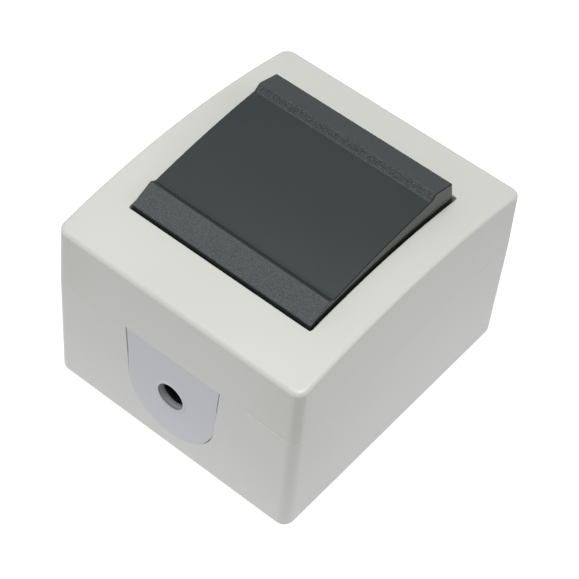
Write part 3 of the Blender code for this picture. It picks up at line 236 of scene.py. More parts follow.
class FastenerSettings(bpy.types.PropertyGroup):
    """Screws, spring and seals"""

    head_radius: length("Head radius", "Radius of a screw head", 0.0028)
    head_height: length("Head height", "Height of a screw head", 0.0018)
    screw_radius: length("Screw radius", "Radius over the thread", 0.00145)
    thread_depth: length("Thread depth", "Depth of the thread", 0.00028)
    coarse_pitch: length("Coarse pitch", "Pitch of the screws that go into plastic", 0.0011)
    fine_pitch: length("Fine pitch", "Pitch of the terminal screws", 0.0005)
    spring_radius: length("Spring radius", "Outer radius of the plunger's spring", 0.0019)
    spring_wire: length("Spring wire", "Diameter of the spring's wire", 0.00045)
    spring_turns: number("Spring turns", "Turns of the plunger's spring", 5.0)


class FinishSettings(bpy.types.PropertyGroup):
    """Colours and surfaces"""

    housing: colour("Housing", "Colour of the two shells", (0.686, 0.693, 0.655))
    insert: colour("Inserts", "Colour of the cable inserts", (0.630, 0.642, 0.668))
    panel: colour("Rocker panel", "Colour of the rocker's smooth panel", (0.028, 0.039, 0.039))
    lip: colour("Rocker lips", "Colour of the rocker's grained lips", (0.070, 0.079, 0.084))
    # The sides' colour is darker than the panel's: painted shade from the gap beside the rocker.
    rocker_side: colour("Rocker sides", "Colour of the rocker's sides", (0.022, 0.026, 0.024))
    mechanism: colour("Mechanism", "Colour of the mechanism's plastic", (0.610, 0.578, 0.503))
    cradle: colour("Cradle", "Colour of the cradle and plunger", (0.807, 0.807, 0.776))
    rubber: colour("Seals", "Colour of the seals", (0.025, 0.025, 0.027))
    steel: colour("Steel", "Colour of the plated steel", (0.515, 0.527, 0.546))
    brass: colour("Brass", "Colour of the contact strips", (0.584, 0.392, 0.117))
    silver: colour("Silver", "Colour of the contact faces", (0.730, 0.730, 0.745))
    grain_size: length("Grain size", "Size of the mould's fine grain", 0.00030)
    lip_grain_size: length("Lip grain", "Size of the grain on the rocker's lips", 0.00030)
    speck_share: share("Specks", "Share of the surface's cells that hold a speck", 0.05)


class StageSettings(bpy.types.PropertyGroup):
    """Floor, lights and camera"""

    camera_place: bpy.props.FloatVectorProperty(
        name="Camera", description="Where the camera stands", size=3, precision=5,
        default=(0.16176, -0.23046, 0.35246), subtype="XYZ", unit="LENGTH")
    azimuth: angle("Azimuth", "Direction of the camera round the switch", 34.885)
    elevation: angle("Elevation", "Height of the camera above the horizon", 49.76)
    roll: angle("Roll", "Roll of the camera", 6.111)
    lens: number("Lens", "Focal length in millimetres", 123.2)
    floor_size: length("Floor", "Width of the floor", 6.0)
    floor_near: number("Near floor", "Light that the floor gives back beside the box", 0.575)
    floor_far: number("Far floor", "Light that the floor gives back further off", 0.28)
    sky: number("Sky", "Strength of the even light from all round", 0.36)
    key: number("Key light", "Power of the soft light overhead, in watts", 5.4)
    left: number("Left light", "Power of the soft light on the left, in watts", 0.78)
    right: number("Right light", "Power of the soft light on the right, in watts", 0.77)


class SwitchSettings(bpy.types.PropertyGroup):
    """Everything that the operators read"""

    housing: bpy.props.PointerProperty(type=HousingSettings)
    entry: bpy.props.PointerProperty(type=EntrySettings)
    rocker: bpy.props.PointerProperty(type=RockerSettings)
    fasteners: bpy.props.PointerProperty(type=FastenerSettings)
    finish: bpy.props.PointerProperty(type=FinishSettings)
    stage: bpy.props.PointerProperty(type=StageSettings)


# Shapes: an outline is a list of flat points, and a loft is a list of rings of points in space


def arc(centre, radius, start, sweep, steps):
    """Points along an arc, both ends included; angles in radians."""
    turns = [start + sweep * step / steps for step in range(steps + 1)]
    return [(centre[0] + radius * cos(turn), centre[1] + radius * sin(turn)) for turn in turns]


def circle(radius, steps=ROUND, centre=(0.0, 0.0)):
    """Points round a circle, anticlockwise."""
    return arc(centre, radius, 0.0, tau * (steps - 1) / steps, steps - 1)


def quarter(radius, steps):
    """A quarter round: at each step what is left to go one way, and what is done the other way."""
    for step in range(steps + 1):
        turn = step / steps * pi / 2
        yield radius * (1 - sin(turn)), radius * (1 - cos(turn))


def rounded(corners, steps):
    """An outline through corners given as (u, v, radius), with an arc at each that has a radius."""
    points = []
    for index, (u, v, radius) in enumerate(corners):
        if radius == 0:
            points.append((u, v))
            continue
        here = Vector((u, v))
        before = (Vector(corners[index - 1][:2]) - here).normalized()
        after = (Vector(corners[(index + 1) % len(corners)][:2]) - here).normalized()
        half = before.angle(after) / 2
        centre = here + (before + after).normalized() * radius / sin(half)
        start = here + before * radius / tan(half) - centre
        end = here + after * radius / tan(half) - centre
        turn = atan2(start.cross(end), start.dot(end))
        points += arc(centre, radius, atan2(start.y, start.x), turn, steps)
    return points


def inset(outline, distance):
    """An anticlockwise outline moved inwards by a distance, or by a function of the point."""
    sharpest = 0.25
    points = []
    for index, here in enumerate(outline):
        move = distance(here) if callable(distance) else distance
        here = Vector(here)
        before = (here - Vector(outline[index - 1])).normalized()
        after = (Vector(outline[(index + 1) % len(outline)]) - here).normalized()
        inward = Vector((-before.y - after.y, before.x + after.x)).normalized()
        spread = sqrt(max(sharpest, (1 + before.dot(after)) / 2))
        points.append(tuple(here + inward * move / spread))
    return points


def rectangle(half_x, half_y, radius=0.0, sides=1, ends=1):
    """A rounded rectangle, anticlockwise; its sides along Y and its ends along X can be divided."""
    points = []
    for index, (x, y) in enumerate(((1, 1), (-1, 1), (-1, -1), (1, -1))):
        u, v = x * (half_x - radius), y * (half_y - radius)
        points += arc((u, v), radius, index * pi / 2, pi / 2, CORNER_STEPS) if radius else [(u, v)]
        upright = index % 2
        parts = sides if upright else ends
        for part in range(1, parts):
            left = 1 - 2 * part / parts
            points.append((x * half_x, v * left) if upright else (u * left, y * half_y))
    return points


def stadium(size, width, across_=False, steps=20):
    """A slot with round ends, along X, or along Y if it lies across."""
    reach = (size - width) / 2
    points = arc((reach, 0.0), width / 2, -pi / 2, pi, steps)
    points += arc((-reach, 0.0), width / 2, pi / 2, pi, steps)
    return [(-v, u) for u, v in points] if across_ else points


def raised(outline, height, at=(0.0, 0.0)):
    """A level ring; the height is a number, or a function of the place along Y."""
    level = height if callable(height) else lambda y: height
    return [Vector((x + at[0], y + at[1], level(y))) for x, y in outline]


def prism(outline, low, high, along_x=False):
    """The loft of a flat outline pushed along Z, or along X."""
    return [[Vector((w, u, v) if along_x else (u, v, w)) for u, v in outline] for w in (low, high)]


def block(low, high):
    """The loft of a box between two corners."""
    outline = ((low[0], low[1]), (high[0], low[1]), (high[0], high[1]), (low[0], high[1]))
    return prism(outline, low[2], high[2])


def turned(profile, at=(0.0, 0.0), steps=ROUND):
    """The loft of a body turned about an upright axis, from (radius, height) points."""
    return [raised(circle(radius, steps), height, at) for radius, height in profile]


def new_piece(name, lofts, closed=False):
    """Skins each loft; its rings have equal numbers of points, and an open one is capped."""
    shape = bmesh.new()
    for loft in lofts:
        rows = [[shape.verts.new(point) for point in ring] for ring in loft]
        pairs = list(zip(rows, rows[1:]))
        if closed:
            pairs.append((rows[-1], rows[0]))
        else:
            shape.faces.new(rows[0])
            shape.faces.new(rows[-1])
        for low, high in pairs:
            for index in range(len(low)):
                after = (index + 1) % len(low)
                shape.faces.new((low[index], low[after], high[after], high[index]))
    bmesh.ops.recalc_face_normals(shape, faces=shape.faces[:])
    mesh = bpy.data.meshes.new(name)
    shape.to_mesh(mesh)
    shape.free()
    piece = bpy.data.objects.new(name, mesh)
    bpy.context.scene.collection.objects.link(piece)
    return piece


def settle(piece):
    """Turns a piece's modifiers into plain mesh."""
    graph = bpy.context.evaluated_depsgraph_get()
    mesh = bpy.data.meshes.new_from_object(piece.evaluated_get(graph))
    old = piece.data
    piece.modifiers.clear()
    piece.data = mesh
    bpy.data.meshes.remove(old)
    mesh.name = piece.name


def alter(piece, operation, lofts, closed):
    """Cuts helper shapes from a piece, or joins them on, and keeps the result as plain mesh."""
    helper = new_piece("helper", lofts, closed)
    modifier = piece.modifiers.new("shape", "BOOLEAN")
    modifier.operation = operation
    modifier.object = helper
    modifier.solver = "EXACT"
    settle(piece)
    bpy.data.objects.remove(helper)


def cut(piece, lofts, closed=False):
    alter(piece, "DIFFERENCE", lofts, closed)


def join(piece, lofts, closed=False):
    alter(piece, "UNION", lofts, closed)


def dress(piece, node, material):
    """Shades a finished piece, gives it its material and puts it on its body for its solid."""
    mesh = piece.data
    if not mesh.polygons:
        raise RuntimeError(f"{piece.name} came out empty")
    mesh.materials.clear()
    mesh.materials.append(material)
    mesh.shade_smooth()
    mesh.set_sharp_from_angle(angle=radians(32))
    modifier = piece.modifiers.new("even_shading", "WEIGHTED_NORMAL")
    modifier.keep_sharp = True
    modifier.weight = 100
    settle(piece)
    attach(piece, frame["nodes"][node]["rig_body"])
    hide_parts(node)


def write_values(piece, name, value_of, domain="FACE"):
    """Stores a number on each face or point, which the materials read by this name."""
    mesh = piece.data
    values = mesh.attributes.new(name, "FLOAT", domain)
    for item in mesh.polygons if domain == "FACE" else mesh.vertices:
        values.data[item.index].value = value_of(item)


def ramp(value, start, run):
    """Grows evenly from 0 at its start to 1 at the end of its run."""
    return min(1.0, max(0.0, (value - start) / run))


def smooth_step(value):
    return value * value * (3 - 2 * value)


def write_corner_shade(piece, housing, most):
    """Stores painted shade on the upright corners, weaker low on the base, and a little on the cover's
    ends beside them.
    """
    def corner_shade_value(point):
        x, y, z = point.co
        above = z - housing.parting_height
        lean = above * tan(housing.cover_draft if above > 0 else -housing.base_draft)
        reach_x = max(0.0, abs(x) - HALF_X + lean + housing.corner_radius)
        reach_y = max(0.0, abs(y) - HALF_Y + lean + housing.corner_radius)
        if reach_y == 0:
            return 0.0
        away = hypot(reach_x, reach_y)
        corner = smooth_step(ramp(0.999 - max(reach_x, reach_y) / away, 0.0, 0.10))
        # Painted shade on the corners, spreading a little along the cover's ends towards them.
        beside = 0.0
        if above > 0:
            beside = 0.45 * smooth_step(ramp(abs(x), 0.016, 0.0145)) * reach_y / away
        upright = 1.0 - min(1.0, abs(point.normal.z) / 0.5)
        # The painted shade grows weaker towards the bottom of the base.
        height = min(1.0, 0.3 + 0.7 * z / housing.parting_height)
        return most * (upright * height * max(corner, beside))

    write_values(piece, "edge", corner_shade_value, "POINT")


# Node trees


def feed(tree, socket, value):
    """Gives a socket its value, or links it to the socket that the value comes from."""
    if isinstance(value, bpy.types.NodeSocket):
        tree.links.new(value, socket)
    else:
        socket.default_value = value


def add_node(tree, kind, settings=None, **inputs):
    """A shader or geometry node; settings are its own, and the rest are its sockets' values."""
    node = tree.nodes.new(kind)
    for key, value in (settings or {}).items():
        setattr(node, key, value)
    for key, value in inputs.items():
        name = key.replace("_", " ")
        feed(tree, next(s for s in node.inputs if s.name == name and s.enabled), value)
    return node


def maths(tree, operation, *values):
    """A Math node's result; each value is a number or a socket."""
    node = add_node(tree, "ShaderNodeMath", {"operation": operation})
    for socket, value in zip(node.inputs, values):
        feed(tree, socket, value)
    return node.outputs[0]


def times(tree, *values):
    return maths(tree, "MULTIPLY", *values)


def times_plus(tree, value, factor, more):
    return maths(tree, "MULTIPLY_ADD", value, factor, more)


def remap(tree, value, low, high, to_low, to_high):
    """A Map Range node's result, held to its two ends."""
    node = add_node(tree, "ShaderNodeMapRange")
    for socket, given in zip(node.inputs, (value, low, high, to_low, to_high)):
        feed(tree, socket, given)
    return node.outputs[0]


def blend(tree, factor, first, second):
    """A colour between two others."""
    node = add_node(tree, "ShaderNodeMix", {"data_type": "RGBA"}, Factor=factor, A=first, B=second)
    return node.outputs[2]


def own_place(tree):
    """The piece's own coordinates, in a material."""
    return add_node(tree, "ShaderNodeTexCoord").outputs["Object"]


def stored(tree, name):
    """A number that write_values has stored on the piece."""
    return add_node(tree, "ShaderNodeAttribute", {"attribute_name": name}).outputs["Fac"]


def one_over(tree, size):
    return maths(tree, "DIVIDE", 1.0, size)


def noise(tree, scale, detail=1.0, place=None):
    place = own_place(tree) if place is None else place
    return add_node(tree, "ShaderNodeTexNoise", Vector=place, Scale=scale, Detail=detail).outputs[0]


SOCKETS = {float: "NodeSocketFloat", int: "NodeSocketInt", tuple: "NodeSocketColor"}
GREY = (0.5, 0.5, 0.5, 1.0)


def node_group(name, inputs, outputs, kind="ShaderNodeTree"):
    """Makes a function that draws a node group into one that gives it, drawn at the first call.

    The function gets the tree and its inputs and returns the outputs' sockets. Each input or output
    is named with its default, or with its socket's type."""
    def wrap(draw):
        def give():
            tree = bpy.data.node_groups.get(name)
            if tree is not None:
                return tree
            tree = bpy.data.node_groups.new(name, kind)
            for way, named in (("INPUT", inputs), ("OUTPUT", outputs)):
                for label, value in named.items():
                    label = label.replace("_", " ")
                    socket_type = SOCKETS.get(type(value), value)
                    socket = tree.interface.new_socket(label, in_out=way, socket_type=socket_type)
                    if socket_type != value:
                        socket.default_value = value
            given = tree.nodes.new("NodeGroupInput").outputs
            end = tree.nodes.new("NodeGroupOutput").inputs
            for socket, value in zip(end, draw(tree, given)):
                feed(tree, socket, value)
            return tree
        return give
    return wrap


def place_group(tree, group, **inputs):
    """A group placed with its own values; gives its outputs."""
    return add_node(tree, "ShaderNodeGroup", {"node_tree": group()}, **inputs).outputs


# Finishes


@node_group("mould_grain", {"Grain Size": 0.0003}, {"Height": 0.0})
def grain(tree, given):
    """Height of a spark-eroded mould's grain: soft pits with finer ones between them."""
    fine = one_over(tree, given["Grain Size"])
    coarse = times(tree, fine, 0.45)
    pits = add_node(
        tree, "ShaderNodeTexVoronoi", {"feature": "SMOOTH_F1"}, Vector=own_place(tree),
        Scale=coarse, Smoothness=0.6).outputs["Distance"]
    total = times_plus(tree, pits, 0.5, noise(tree, fine, 2.0))
    return (times_plus(tree, noise(tree, coarse), 0.2, total),)


@node_group(
    "colour_drift",
    {"Colour": GREY, "Drift": 0.04, "Drift Size": 0.02, "Speckle": 0.02, "Speckle Size": 0.0004},
    {"Colour": GREY, "Value": 0.0})
def drift(tree, given):
    """A colour that drifts slightly over the surface, as moulded plastic does."""
    slow = noise(tree, one_over(tree, given["Drift Size"]))
    fast = noise(tree, one_over(tree, given["Speckle Size"]))
    slow_part = times(tree, maths(tree, "SUBTRACT", slow, 0.5), given["Drift"])
    fast_part = times(tree, maths(tree, "SUBTRACT", fast, 0.5), given["Speckle"])
    change = maths(tree, "ADD", slow_part, fast_part)
    scaled = add_node(
        tree, "ShaderNodeVectorMath", {"operation": "SCALE"}, Vector=given["Colour"],
        Scale=times_plus(tree, change, 2.0, 1.0))
    return scaled.outputs[0], slow


@node_group("specks", {"Spacing": 0.004, "Share": 0.05, "Speck Size": 0.1}, {"Mask": 0.0})
def specks_mask(tree, given):
    """A mask of small scattered specks, each of its own size."""
    cells = add_node(tree, "ShaderNodeTexVoronoi", Vector=own_place(tree),
                     Scale=one_over(tree, given["Spacing"])).outputs
    parts = add_node(tree, "ShaderNodeSeparateColor", Color=cells["Color"]).outputs
    chosen = maths(tree, "LESS_THAN", parts[0], given["Share"])
    size = times(tree, parts[1], given["Speck Size"])
    spot = remap(tree, cells["Distance"], times(tree, size, 0.4), size, 1.0, 0.0)
    return (times(tree, spot, chosen),)


@node_group("handled_edges", {"Patch Size": 0.003}, {"Mask": 0.0})
def edge_shade_and_lines_mask(tree, given):
    """The painted shade and dark lines that the piece has stored on its edges, a little stronger here
    and weaker there.
    """
    patches = noise(tree, one_over(tree, given["Patch Size"]))
    return (times(tree, stored(tree, "edge"), remap(tree, patches, 0.1, 0.9, 0.88, 1.0)),)


@node_group("metal_streaks", {"Streak Width": 0.00012}, {"Value": 0.0})
def streaks(tree, given):
    """Fine drawn streaks along X in rolled or plated metal."""
    squeeze = add_node(tree, "ShaderNodeMapping", Vector=own_place(tree), Scale=(0.06, 1.0, 1.0))
    return (noise(tree, one_over(tree, given["Streak Width"]), 3.0, squeeze.outputs[0]),)


def opaque(base, part=1.0):
    """A colour, or a darker part of it, for a socket."""
    return (*[value * part for value in base], 1.0)


def grain_height(tree, size):
    return place_group(tree, grain, Grain_Size=size)["Height"]


def drifting(tree, base, **sizes):
    """A colour with its drift; gives the Colour, and the Value that drifts slowly."""
    return place_group(tree, drift, Colour=opaque(base), **sizes)


def new_finish(name):
    """A material with its node tree and its surface shader."""
    material = bpy.data.materials.new(name)
    material.use_nodes = True
    return material, material.node_tree, material.node_tree.nodes["Principled BSDF"]


def cover_surface(tree, surface, colour_, roughness, height, strength, distance):
    """Feeds a surface its colour, its roughness and its relief."""
    bump = add_node(tree, "ShaderNodeBump", Height=height, Strength=strength, Distance=distance)
    feed(tree, surface.inputs["Base Color"], colour_)
    feed(tree, surface.inputs["Roughness"], roughness)
    feed(tree, surface.inputs["Normal"], bump.outputs[0])


def moulded_plastic(name, base, grain_size, specks, smooth, rough, relief):
    """Satin moulded plastic: drifting colour, faint specks, painted shade on its stored edges, which
    are a little glossier, painted shade in a cable hole, and a fine grain.
    """
    found = bpy.data.materials.get(name)
    if found:
        return found
    material, tree, surface = new_finish(name)
    body = drifting(tree, base, Drift=0.022, Drift_Size=0.018, Speckle=0.008,
                    Speckle_Size=grain_size * 1.6)
    dots = place_group(tree, specks_mask, Spacing=0.0045, Share=specks, Speck_Size=0.10)["Mask"]
    # The stored edges take painted shade in a darker, warmer tone, and a little less roughness.
    edges = place_group(tree, edge_shade_and_lines_mask, Patch_Size=0.004)["Mask"]
    corner_shade_tone = opaque([base[0] * 0.90, base[1] * 0.885, base[2] * 0.86])
    colour_ = blend(tree, edges, body["Colour"], corner_shade_tone)
    # Painted shade on a cable hole's wall, darkest in its groove.
    colour_ = blend(tree, stored(tree, "inside"), colour_, opaque(base, 0.15))
    colour_ = blend(tree, times(tree, dots, 0.6), colour_, opaque(base, 0.80))
    sheen = remap(tree, body["Value"], 0.1, 0.9, smooth, rough)
    cover_surface(tree, surface, colour_, times_plus(tree, edges, -0.08, sheen),
                  grain_height(tree, grain_size), relief, grain_size * 0.12)
    return material


def rocker_plastic(finish):
    """Anthracite plastic: a smooth panel, grained lips and slopes with painted light and shade between
    them, duller sides painted darker with the gap's shade, and dark edge lines with painted shade in
    the near crease.
    """
    material, tree, surface = new_finish("rocker_anthracite")
    grained = stored(tree, "grained")
    side = stored(tree, "side")
    edges = place_group(tree, edge_shade_and_lines_mask, Patch_Size=0.006)["Mask"]
    panel = drifting(tree, finish.panel, Drift=0.06, Drift_Size=0.012, Speckle=0.05,
                     Speckle_Size=0.0005)
    # Speckle strength follows the grained value, strongest on the far slope as painted glints where it
    # faces the light.
    contrast = times(tree, times(tree, grained, grained), 1.25)
    lip = drifting(tree, finish.lip, Drift=0.08, Drift_Size=0.005, Speckle=contrast,
                   Speckle_Size=finish.lip_grain_size * 0.6)
    shaded_flank = drifting(tree, finish.rocker_side, Drift=0.06, Drift_Size=0.006, Speckle=0.10,
                     Speckle_Size=0.0003)
    # The grained value also paints light and shade: the near slope takes the panel's darker colour, the
    # far lip and slope a darker lip colour.
    tone = maths(tree, "MINIMUM", grained, maths(tree, "SUBTRACT", 2.0, grained))
    colour_ = blend(tree, tone, panel["Colour"], lip["Colour"])
    # The sides take their darker colour, painted shade from the gap beside the rocker.
    colour_ = blend(tree, side, colour_, shaded_flank["Colour"])
    # Dark lines on the side edges and painted shade in the near crease, from the stored edges.
    colour_ = blend(tree, edges, colour_, opaque(finish.panel, 0.10))
    rough = remap(tree, panel["Value"], 0.1, 0.9, 0.39, 0.42)
    for mask, change in ((grained, 0.20), (side, -0.18), (edges, 0.40)):
        rough = times_plus(tree, mask, change, rough)
    fine_grain, relief = 0.00022, 0.00022
    deep = times(tree, grain_height(tree, finish.lip_grain_size), grained)
    height = times_plus(tree, grain_height(tree, fine_grain), 0.05, deep)
    cover_surface(tree, surface, colour_, rough, height, 1.0, relief)
    return material


def rubber(finish):
    """Black seal rubber with a dusty bloom."""
    material, tree, surface = new_finish("seal_rubber")
    body = drifting(tree, finish.rubber, Drift=0.30, Drift_Size=0.003, Speckle=0.20,
                    Speckle_Size=0.0002)
    rough = remap(tree, body["Value"], 0.3, 0.7, 0.70, 0.88)
    cover_surface(tree, surface, body["Colour"], rough, grain_height(tree, 0.00015), 0.4, 0.00002)
    return material


def metal(name, base, streak_width, smooth, rough):
    """Plated or rolled metal with fine streaks and slight stains."""
    found = bpy.data.materials.get(name)
    if found:
        return found
    material, tree, surface = new_finish(name)
    surface.inputs["Metallic"].default_value = 1.0
    body = drifting(tree, base, Drift=0.16, Drift_Size=0.0035, Speckle=0.06, Speckle_Size=0.0003)
    lines = place_group(tree, streaks, Streak_Width=streak_width)["Value"]
    roughness = remap(tree, lines, 0.3, 0.7, smooth, rough)
    cover_surface(tree, surface, body["Colour"], roughness, lines, 0.25, 0.00001)
    return material


def housing_finish(finish):
    return moulded_plastic("housing_light_grey", finish.housing, finish.grain_size,
                           finish.speck_share, 0.25, 0.37, 0.10)


def insert_finish(finish):
    return moulded_plastic("insert_cool_grey", finish.insert, finish.grain_size * 0.8,
                           finish.speck_share * 0.5, 0.50, 0.60, 0.30)


def zinc_plated_steel(finish):
    return metal("zinc_plated_steel", finish.steel, 0.00015, 0.26, 0.42)


# Box


def cover_top(housing, y):
    """Height of the crowned top above the back, at this place along the cover."""
    radius = (HALF_Y**2 + housing.crown_rise**2) / (2 * housing.crown_rise)
    return housing.shoulder + housing.crown_rise - radius + sqrt(radius**2 - y**2)


def set_back(housing, point):
    """How far the cover's foot stands back from the base: only beside the pierced insert."""
    x, y = point
    start, full, end, least = 0.0132, 0.0290, 0.0318, 0.15
    if y > 0 or x < start or x > end:
        return 0.0
    along = (x - start) / (full - start)
    part = least + (1 - least) * along**3 if x < full else (end - x) / (end - full)
    return housing.set_back * part


def make_cover(settings):
    housing = settings.housing

    def inner(half_x, half_y, height, radius):
        return raised(rectangle(half_x, half_y, radius, CROWN_STEPS, END_STEPS), height)

    def ring(inward, height, radius):
        return inner(HALF_X - inward, HALF_Y - inward, height, radius)

    def round_opening(out, height):
        return inner(housing.opening_x + out, housing.opening_y + out, height,
                     housing.opening_radius + out)

    def lowered(drop):
        return lambda y: cover_top(housing, y) - drop

    foot = housing.parting_height + housing.parting_gap / 2
    corner = housing.corner_radius
    side_height = housing.shoulder - housing.parting_height
    lean = tan(housing.cover_draft) * side_height
    outline = rectangle(HALF_X, HALF_Y, corner, CROWN_STEPS, END_STEPS)
    rings = []
    for more, rise in quarter(housing.edge_break, BREAK_STEPS):
        moved = inset(outline, lambda point: set_back(housing, point) + more)
        rings.append(raised(moved, foot + rise))
    plain_from = 0.006
    rings.append(ring(lean * plain_from / side_height, housing.parting_height + plain_from, corner))
    fillet = housing.top_fillet
    for drop, inward in quarter(fillet, FILLET_STEPS):
        rings.append(ring(lean + inward, lowered(drop), max(INNER_RADIUS, corner - inward)))
    edge = housing.opening_edge
    outer = (HALF_X - lean - fillet, HALF_Y - lean - fillet, max(INNER_RADIUS, corner - fillet))
    last = (housing.opening_x + edge, housing.opening_y + edge, housing.opening_radius + edge)
    for row in range(1, RIM_ROWS):
        along = row / RIM_ROWS
        half_x, half_y, radius = (first + (end - first) * along for first, end in zip(outer, last))
        rings.append(inner(half_x, half_y, lowered(0.0), radius))
    rings += [round_opening(out, lowered(drop)) for out, drop in quarter(edge, EDGE_STEPS)]
    tray = housing.shoulder - housing.tray_depth
    under = tray - TRAY_FLOOR
    rings.append(round_opening(0.0, tray))
    rings += [inner(WINDOW_X, WINDOW_Y, height, WINDOW_RADIUS) for height in (tray, under)]
    rings += [round_opening(COLLAR_WALL, height) for height in (under, lowered(COVER_ROOF))]
    rings.append(ring(lean + COVER_WALL, lowered(COVER_ROOF), INNER_RADIUS))
    rings.append(ring(COVER_WALL, REBATE_TOP, INNER_RADIUS))
    rebate = BASE_WALL - TONGUE_WIDTH - SEAT
    rings += [ring(rebate, height, corner - rebate) for height in (REBATE_TOP, foot)]
    cover = new_piece("cover_moulding", [rings], closed=True)

    outside = SCREW_HEAD_HOLE + TUBE_WALL
    tube = ((outside, foot + SEAT / 2), (outside, under + BITE))
    head_seat = tray - HEAD_RECESS
    hole = ((SCREW_HOLE, foot - PAST), (SCREW_HOLE, head_seat), (SCREW_HEAD_HOLE, head_seat),
            (SCREW_HEAD_HOLE, tray + PAST))
    join(cover, [turned(tube, place) for place in COVER_SCREW_PLACES])
    cut(cover, [turned(hole, place) for place in COVER_SCREW_PLACES])
    # Painted shade on the cover's upright corners and along its ends beside them.
    write_corner_shade(cover, housing, most=0.92)
    dress(cover, "cover", housing_finish(settings.finish))


def entry_outline(settings, wider, top, sides=1):
    """The cable entry's U, this much wider all round: an arc, and sides that lean out to the top."""
    parting = settings.housing.parting_height
    half = settings.entry.half_width + wider
    radius = settings.entry.radius + wider
    centre = settings.entry.centre_height
    rise = parting - centre
    lean = atan2(rise, half) - acos(min(1.0, radius / hypot(half, rise)))
    points = arc((0.0, centre), radius, pi - lean, pi + 2 * lean, ENTRY_STEPS)
    slope = (half - radius * cos(lean)) / (rise - radius * sin(lean))
    last_x, last_z = points[-1]
    for part in range(1, sides + 1):
        along = part / sides
        x = last_x + (half + (top - parting) * slope - last_x) * along
        z = last_z + (top - last_z) * along
        points = [(-x, z)] + points + [(x, z)]
    return points


def side_face(settings, height):
    """How far the base's end face stands from the middle at this height."""
    lean = tan(settings.housing.base_draft) * (settings.housing.parting_height - height)
    return HALF_Y - lean


def across(outline, place):
    """A ring that stands across the box; its place along Y is a function of the height."""
    return [Vector((x, place(z), z)) for x, z in outline]


def make_base(settings):
    housing = settings.housing

    def ring(inward, height, radius):
        return raised(rectangle(HALF_X - inward, HALF_Y - inward, radius), height)

    top = housing.parting_height - housing.parting_gap / 2
    corner = housing.corner_radius
    lean = tan(housing.base_draft) * housing.parting_height
    rings = []
    for inward, height in quarter(housing.back_fillet, FILLET_STEPS):
        rings.append(ring(lean + inward, height, corner - inward))
    for drop, inward in quarter(housing.edge_break, BREAK_STEPS):
        rings.append(ring(inward, top - drop, corner - inward))
    tongue = BASE_WALL - TONGUE_WIDTH
    rings += [ring(tongue, height, corner - tongue) for height in (top, TONGUE_TOP)]
    rings += [ring(BASE_WALL, height, INNER_RADIUS) for height in (TONGUE_TOP, BASE_FLOOR)]
    base = new_piece("base_moulding", [rings])

    high = TONGUE_TOP + PAST
    steps = ((0.0, -BASE_WALL - PAST / 2), (0.0, -EDGE_BREAK), (EDGE_BREAK * 0.3, -EDGE_BREAK * 0.3),
             (EDGE_BREAK, 0.0), (EDGE_BREAK, PAST))
    slots = []
    for end in (-1, 1):
        slots.append([across(entry_outline(settings, wider, high),
                             lambda z: end * (side_face(settings, z) + out)) for wider, out in steps])
    cut(base, slots)

    floor = BASE_FLOOR - BITE
    boss = SCREW_HOLE + BOSS_WALL
    additions = []
    for places, boss_top, _, _ in BOSSES:
        additions += [turned(((boss, floor), (boss, boss_top)), place) for place in places]
    for side in (-1, 1):
        low = side * BODY_REST_Y - RIB / 2
        rest_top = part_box("mechanism_body")[0].z - SEAT
        additions.append(block((-BODY_REST_X, low, floor), (BODY_REST_X, low + RIB, rest_top)))
        pad = stadium(*FIXING_PAD, side < 0)
        additions.append([raised(pad, height, (0.0, side * FIXING_Y))
                          for height in (floor, BASE_FLOOR + FIXING_PAD_HEIGHT)])
    join(base, additions)

    gussets = []
    for x, y in COVER_SCREW_PLACES + FRAME_SCREW_PLACES:
        side = copysign(1, x)
        low, high = sorted((x + side * (SCREW_HOLE + BOSS_WALL / 2),
                            side * (HALF_X - BASE_WALL + BITE)))
        gussets.append(block((low, y - RIB / 2, floor), (high, y + RIB / 2, GUSSET_TOP)))
    join(base, gussets)

    groove = settings.entry.half_width + FLANGE_OVERLAP + SEAT
    depth = FLANGE_THICKNESS + 2 * SEAT
    corners = ((groove, -BITE), (groove + RIB, -BITE), (groove + RIB, depth + RIB),
               (groove - RIB, depth + RIB), (groove - RIB, depth), (groove, depth))
    rails = []
    for side in (-1, 1):
        for end in (-1, 1):
            outline = [(side * x, end * (HALF_Y - BASE_WALL - y)) for x, y in corners]
            rails.append(prism(outline, floor, RAIL_TOP))
    join(base, rails)

    holes = []
    for places, _, low, high in BOSSES:
        hole = ((SCREW_HOLE, low), (SCREW_HOLE, high))
        holes += [turned(hole, place, HOLE_ROUND) for place in places]
    steps = ((FIXING_BREAK, -PAST), (FIXING_BREAK, 0.0), (0.0, FIXING_BREAK),
             (0.0, BASE_FLOOR + FIXING_PAD_HEIGHT + PAST))
    for side in (-1, 1):
        slot = stadium(*FIXING_SLOT, side < 0)
        holes.append([raised(inset(slot, -wider), height, (0.0, side * FIXING_Y))
                      for wider, height in steps])
    cut(base, holes)

    depths = (-PAST, KNOCK_OUT_DEPTH, KNOCK_OUT_DEPTH, -PAST)
    cut(base, [turned(zip(KNOCK_OUT_RADII, depths), steps=FINE_ROUND)], closed=True)
    mark = ((MARK_RADIUS, -PAST), (MARK_RADIUS, MARK_DEPTH))
    cut(base, [turned(mark, (x, y)) for x in (-MARK_X, MARK_X) for y in (-MARK_Y, MARK_Y)])
    # Painted shade on the base's upright corners, weaker towards its bottom.
    write_corner_shade(base, housing, most=0.42)
    dress(base, "base_box", housing_finish(settings.finish))


# Cable inserts


def looseness(entry, point):
    """0 where an insert touches its slot, 1 at its loosest; it sits loosely at three places."""
    x, z = point
    upper_left = ramp(z, start=0.0150, run=0.0080) if x < 0 else 0.0
    turn = degrees(atan2(z - entry.centre_height, x))
    loosest, spread = -26.0, 18.0
    lower_right = max(0.0, 1.0 - abs(turn - loosest) / spread)
    upper_right = ramp(z, start=0.0215, run=0.0030) if x > 0 else 0.0
    return max(upper_left, 0.65 * lower_right, 0.60 * upper_right)


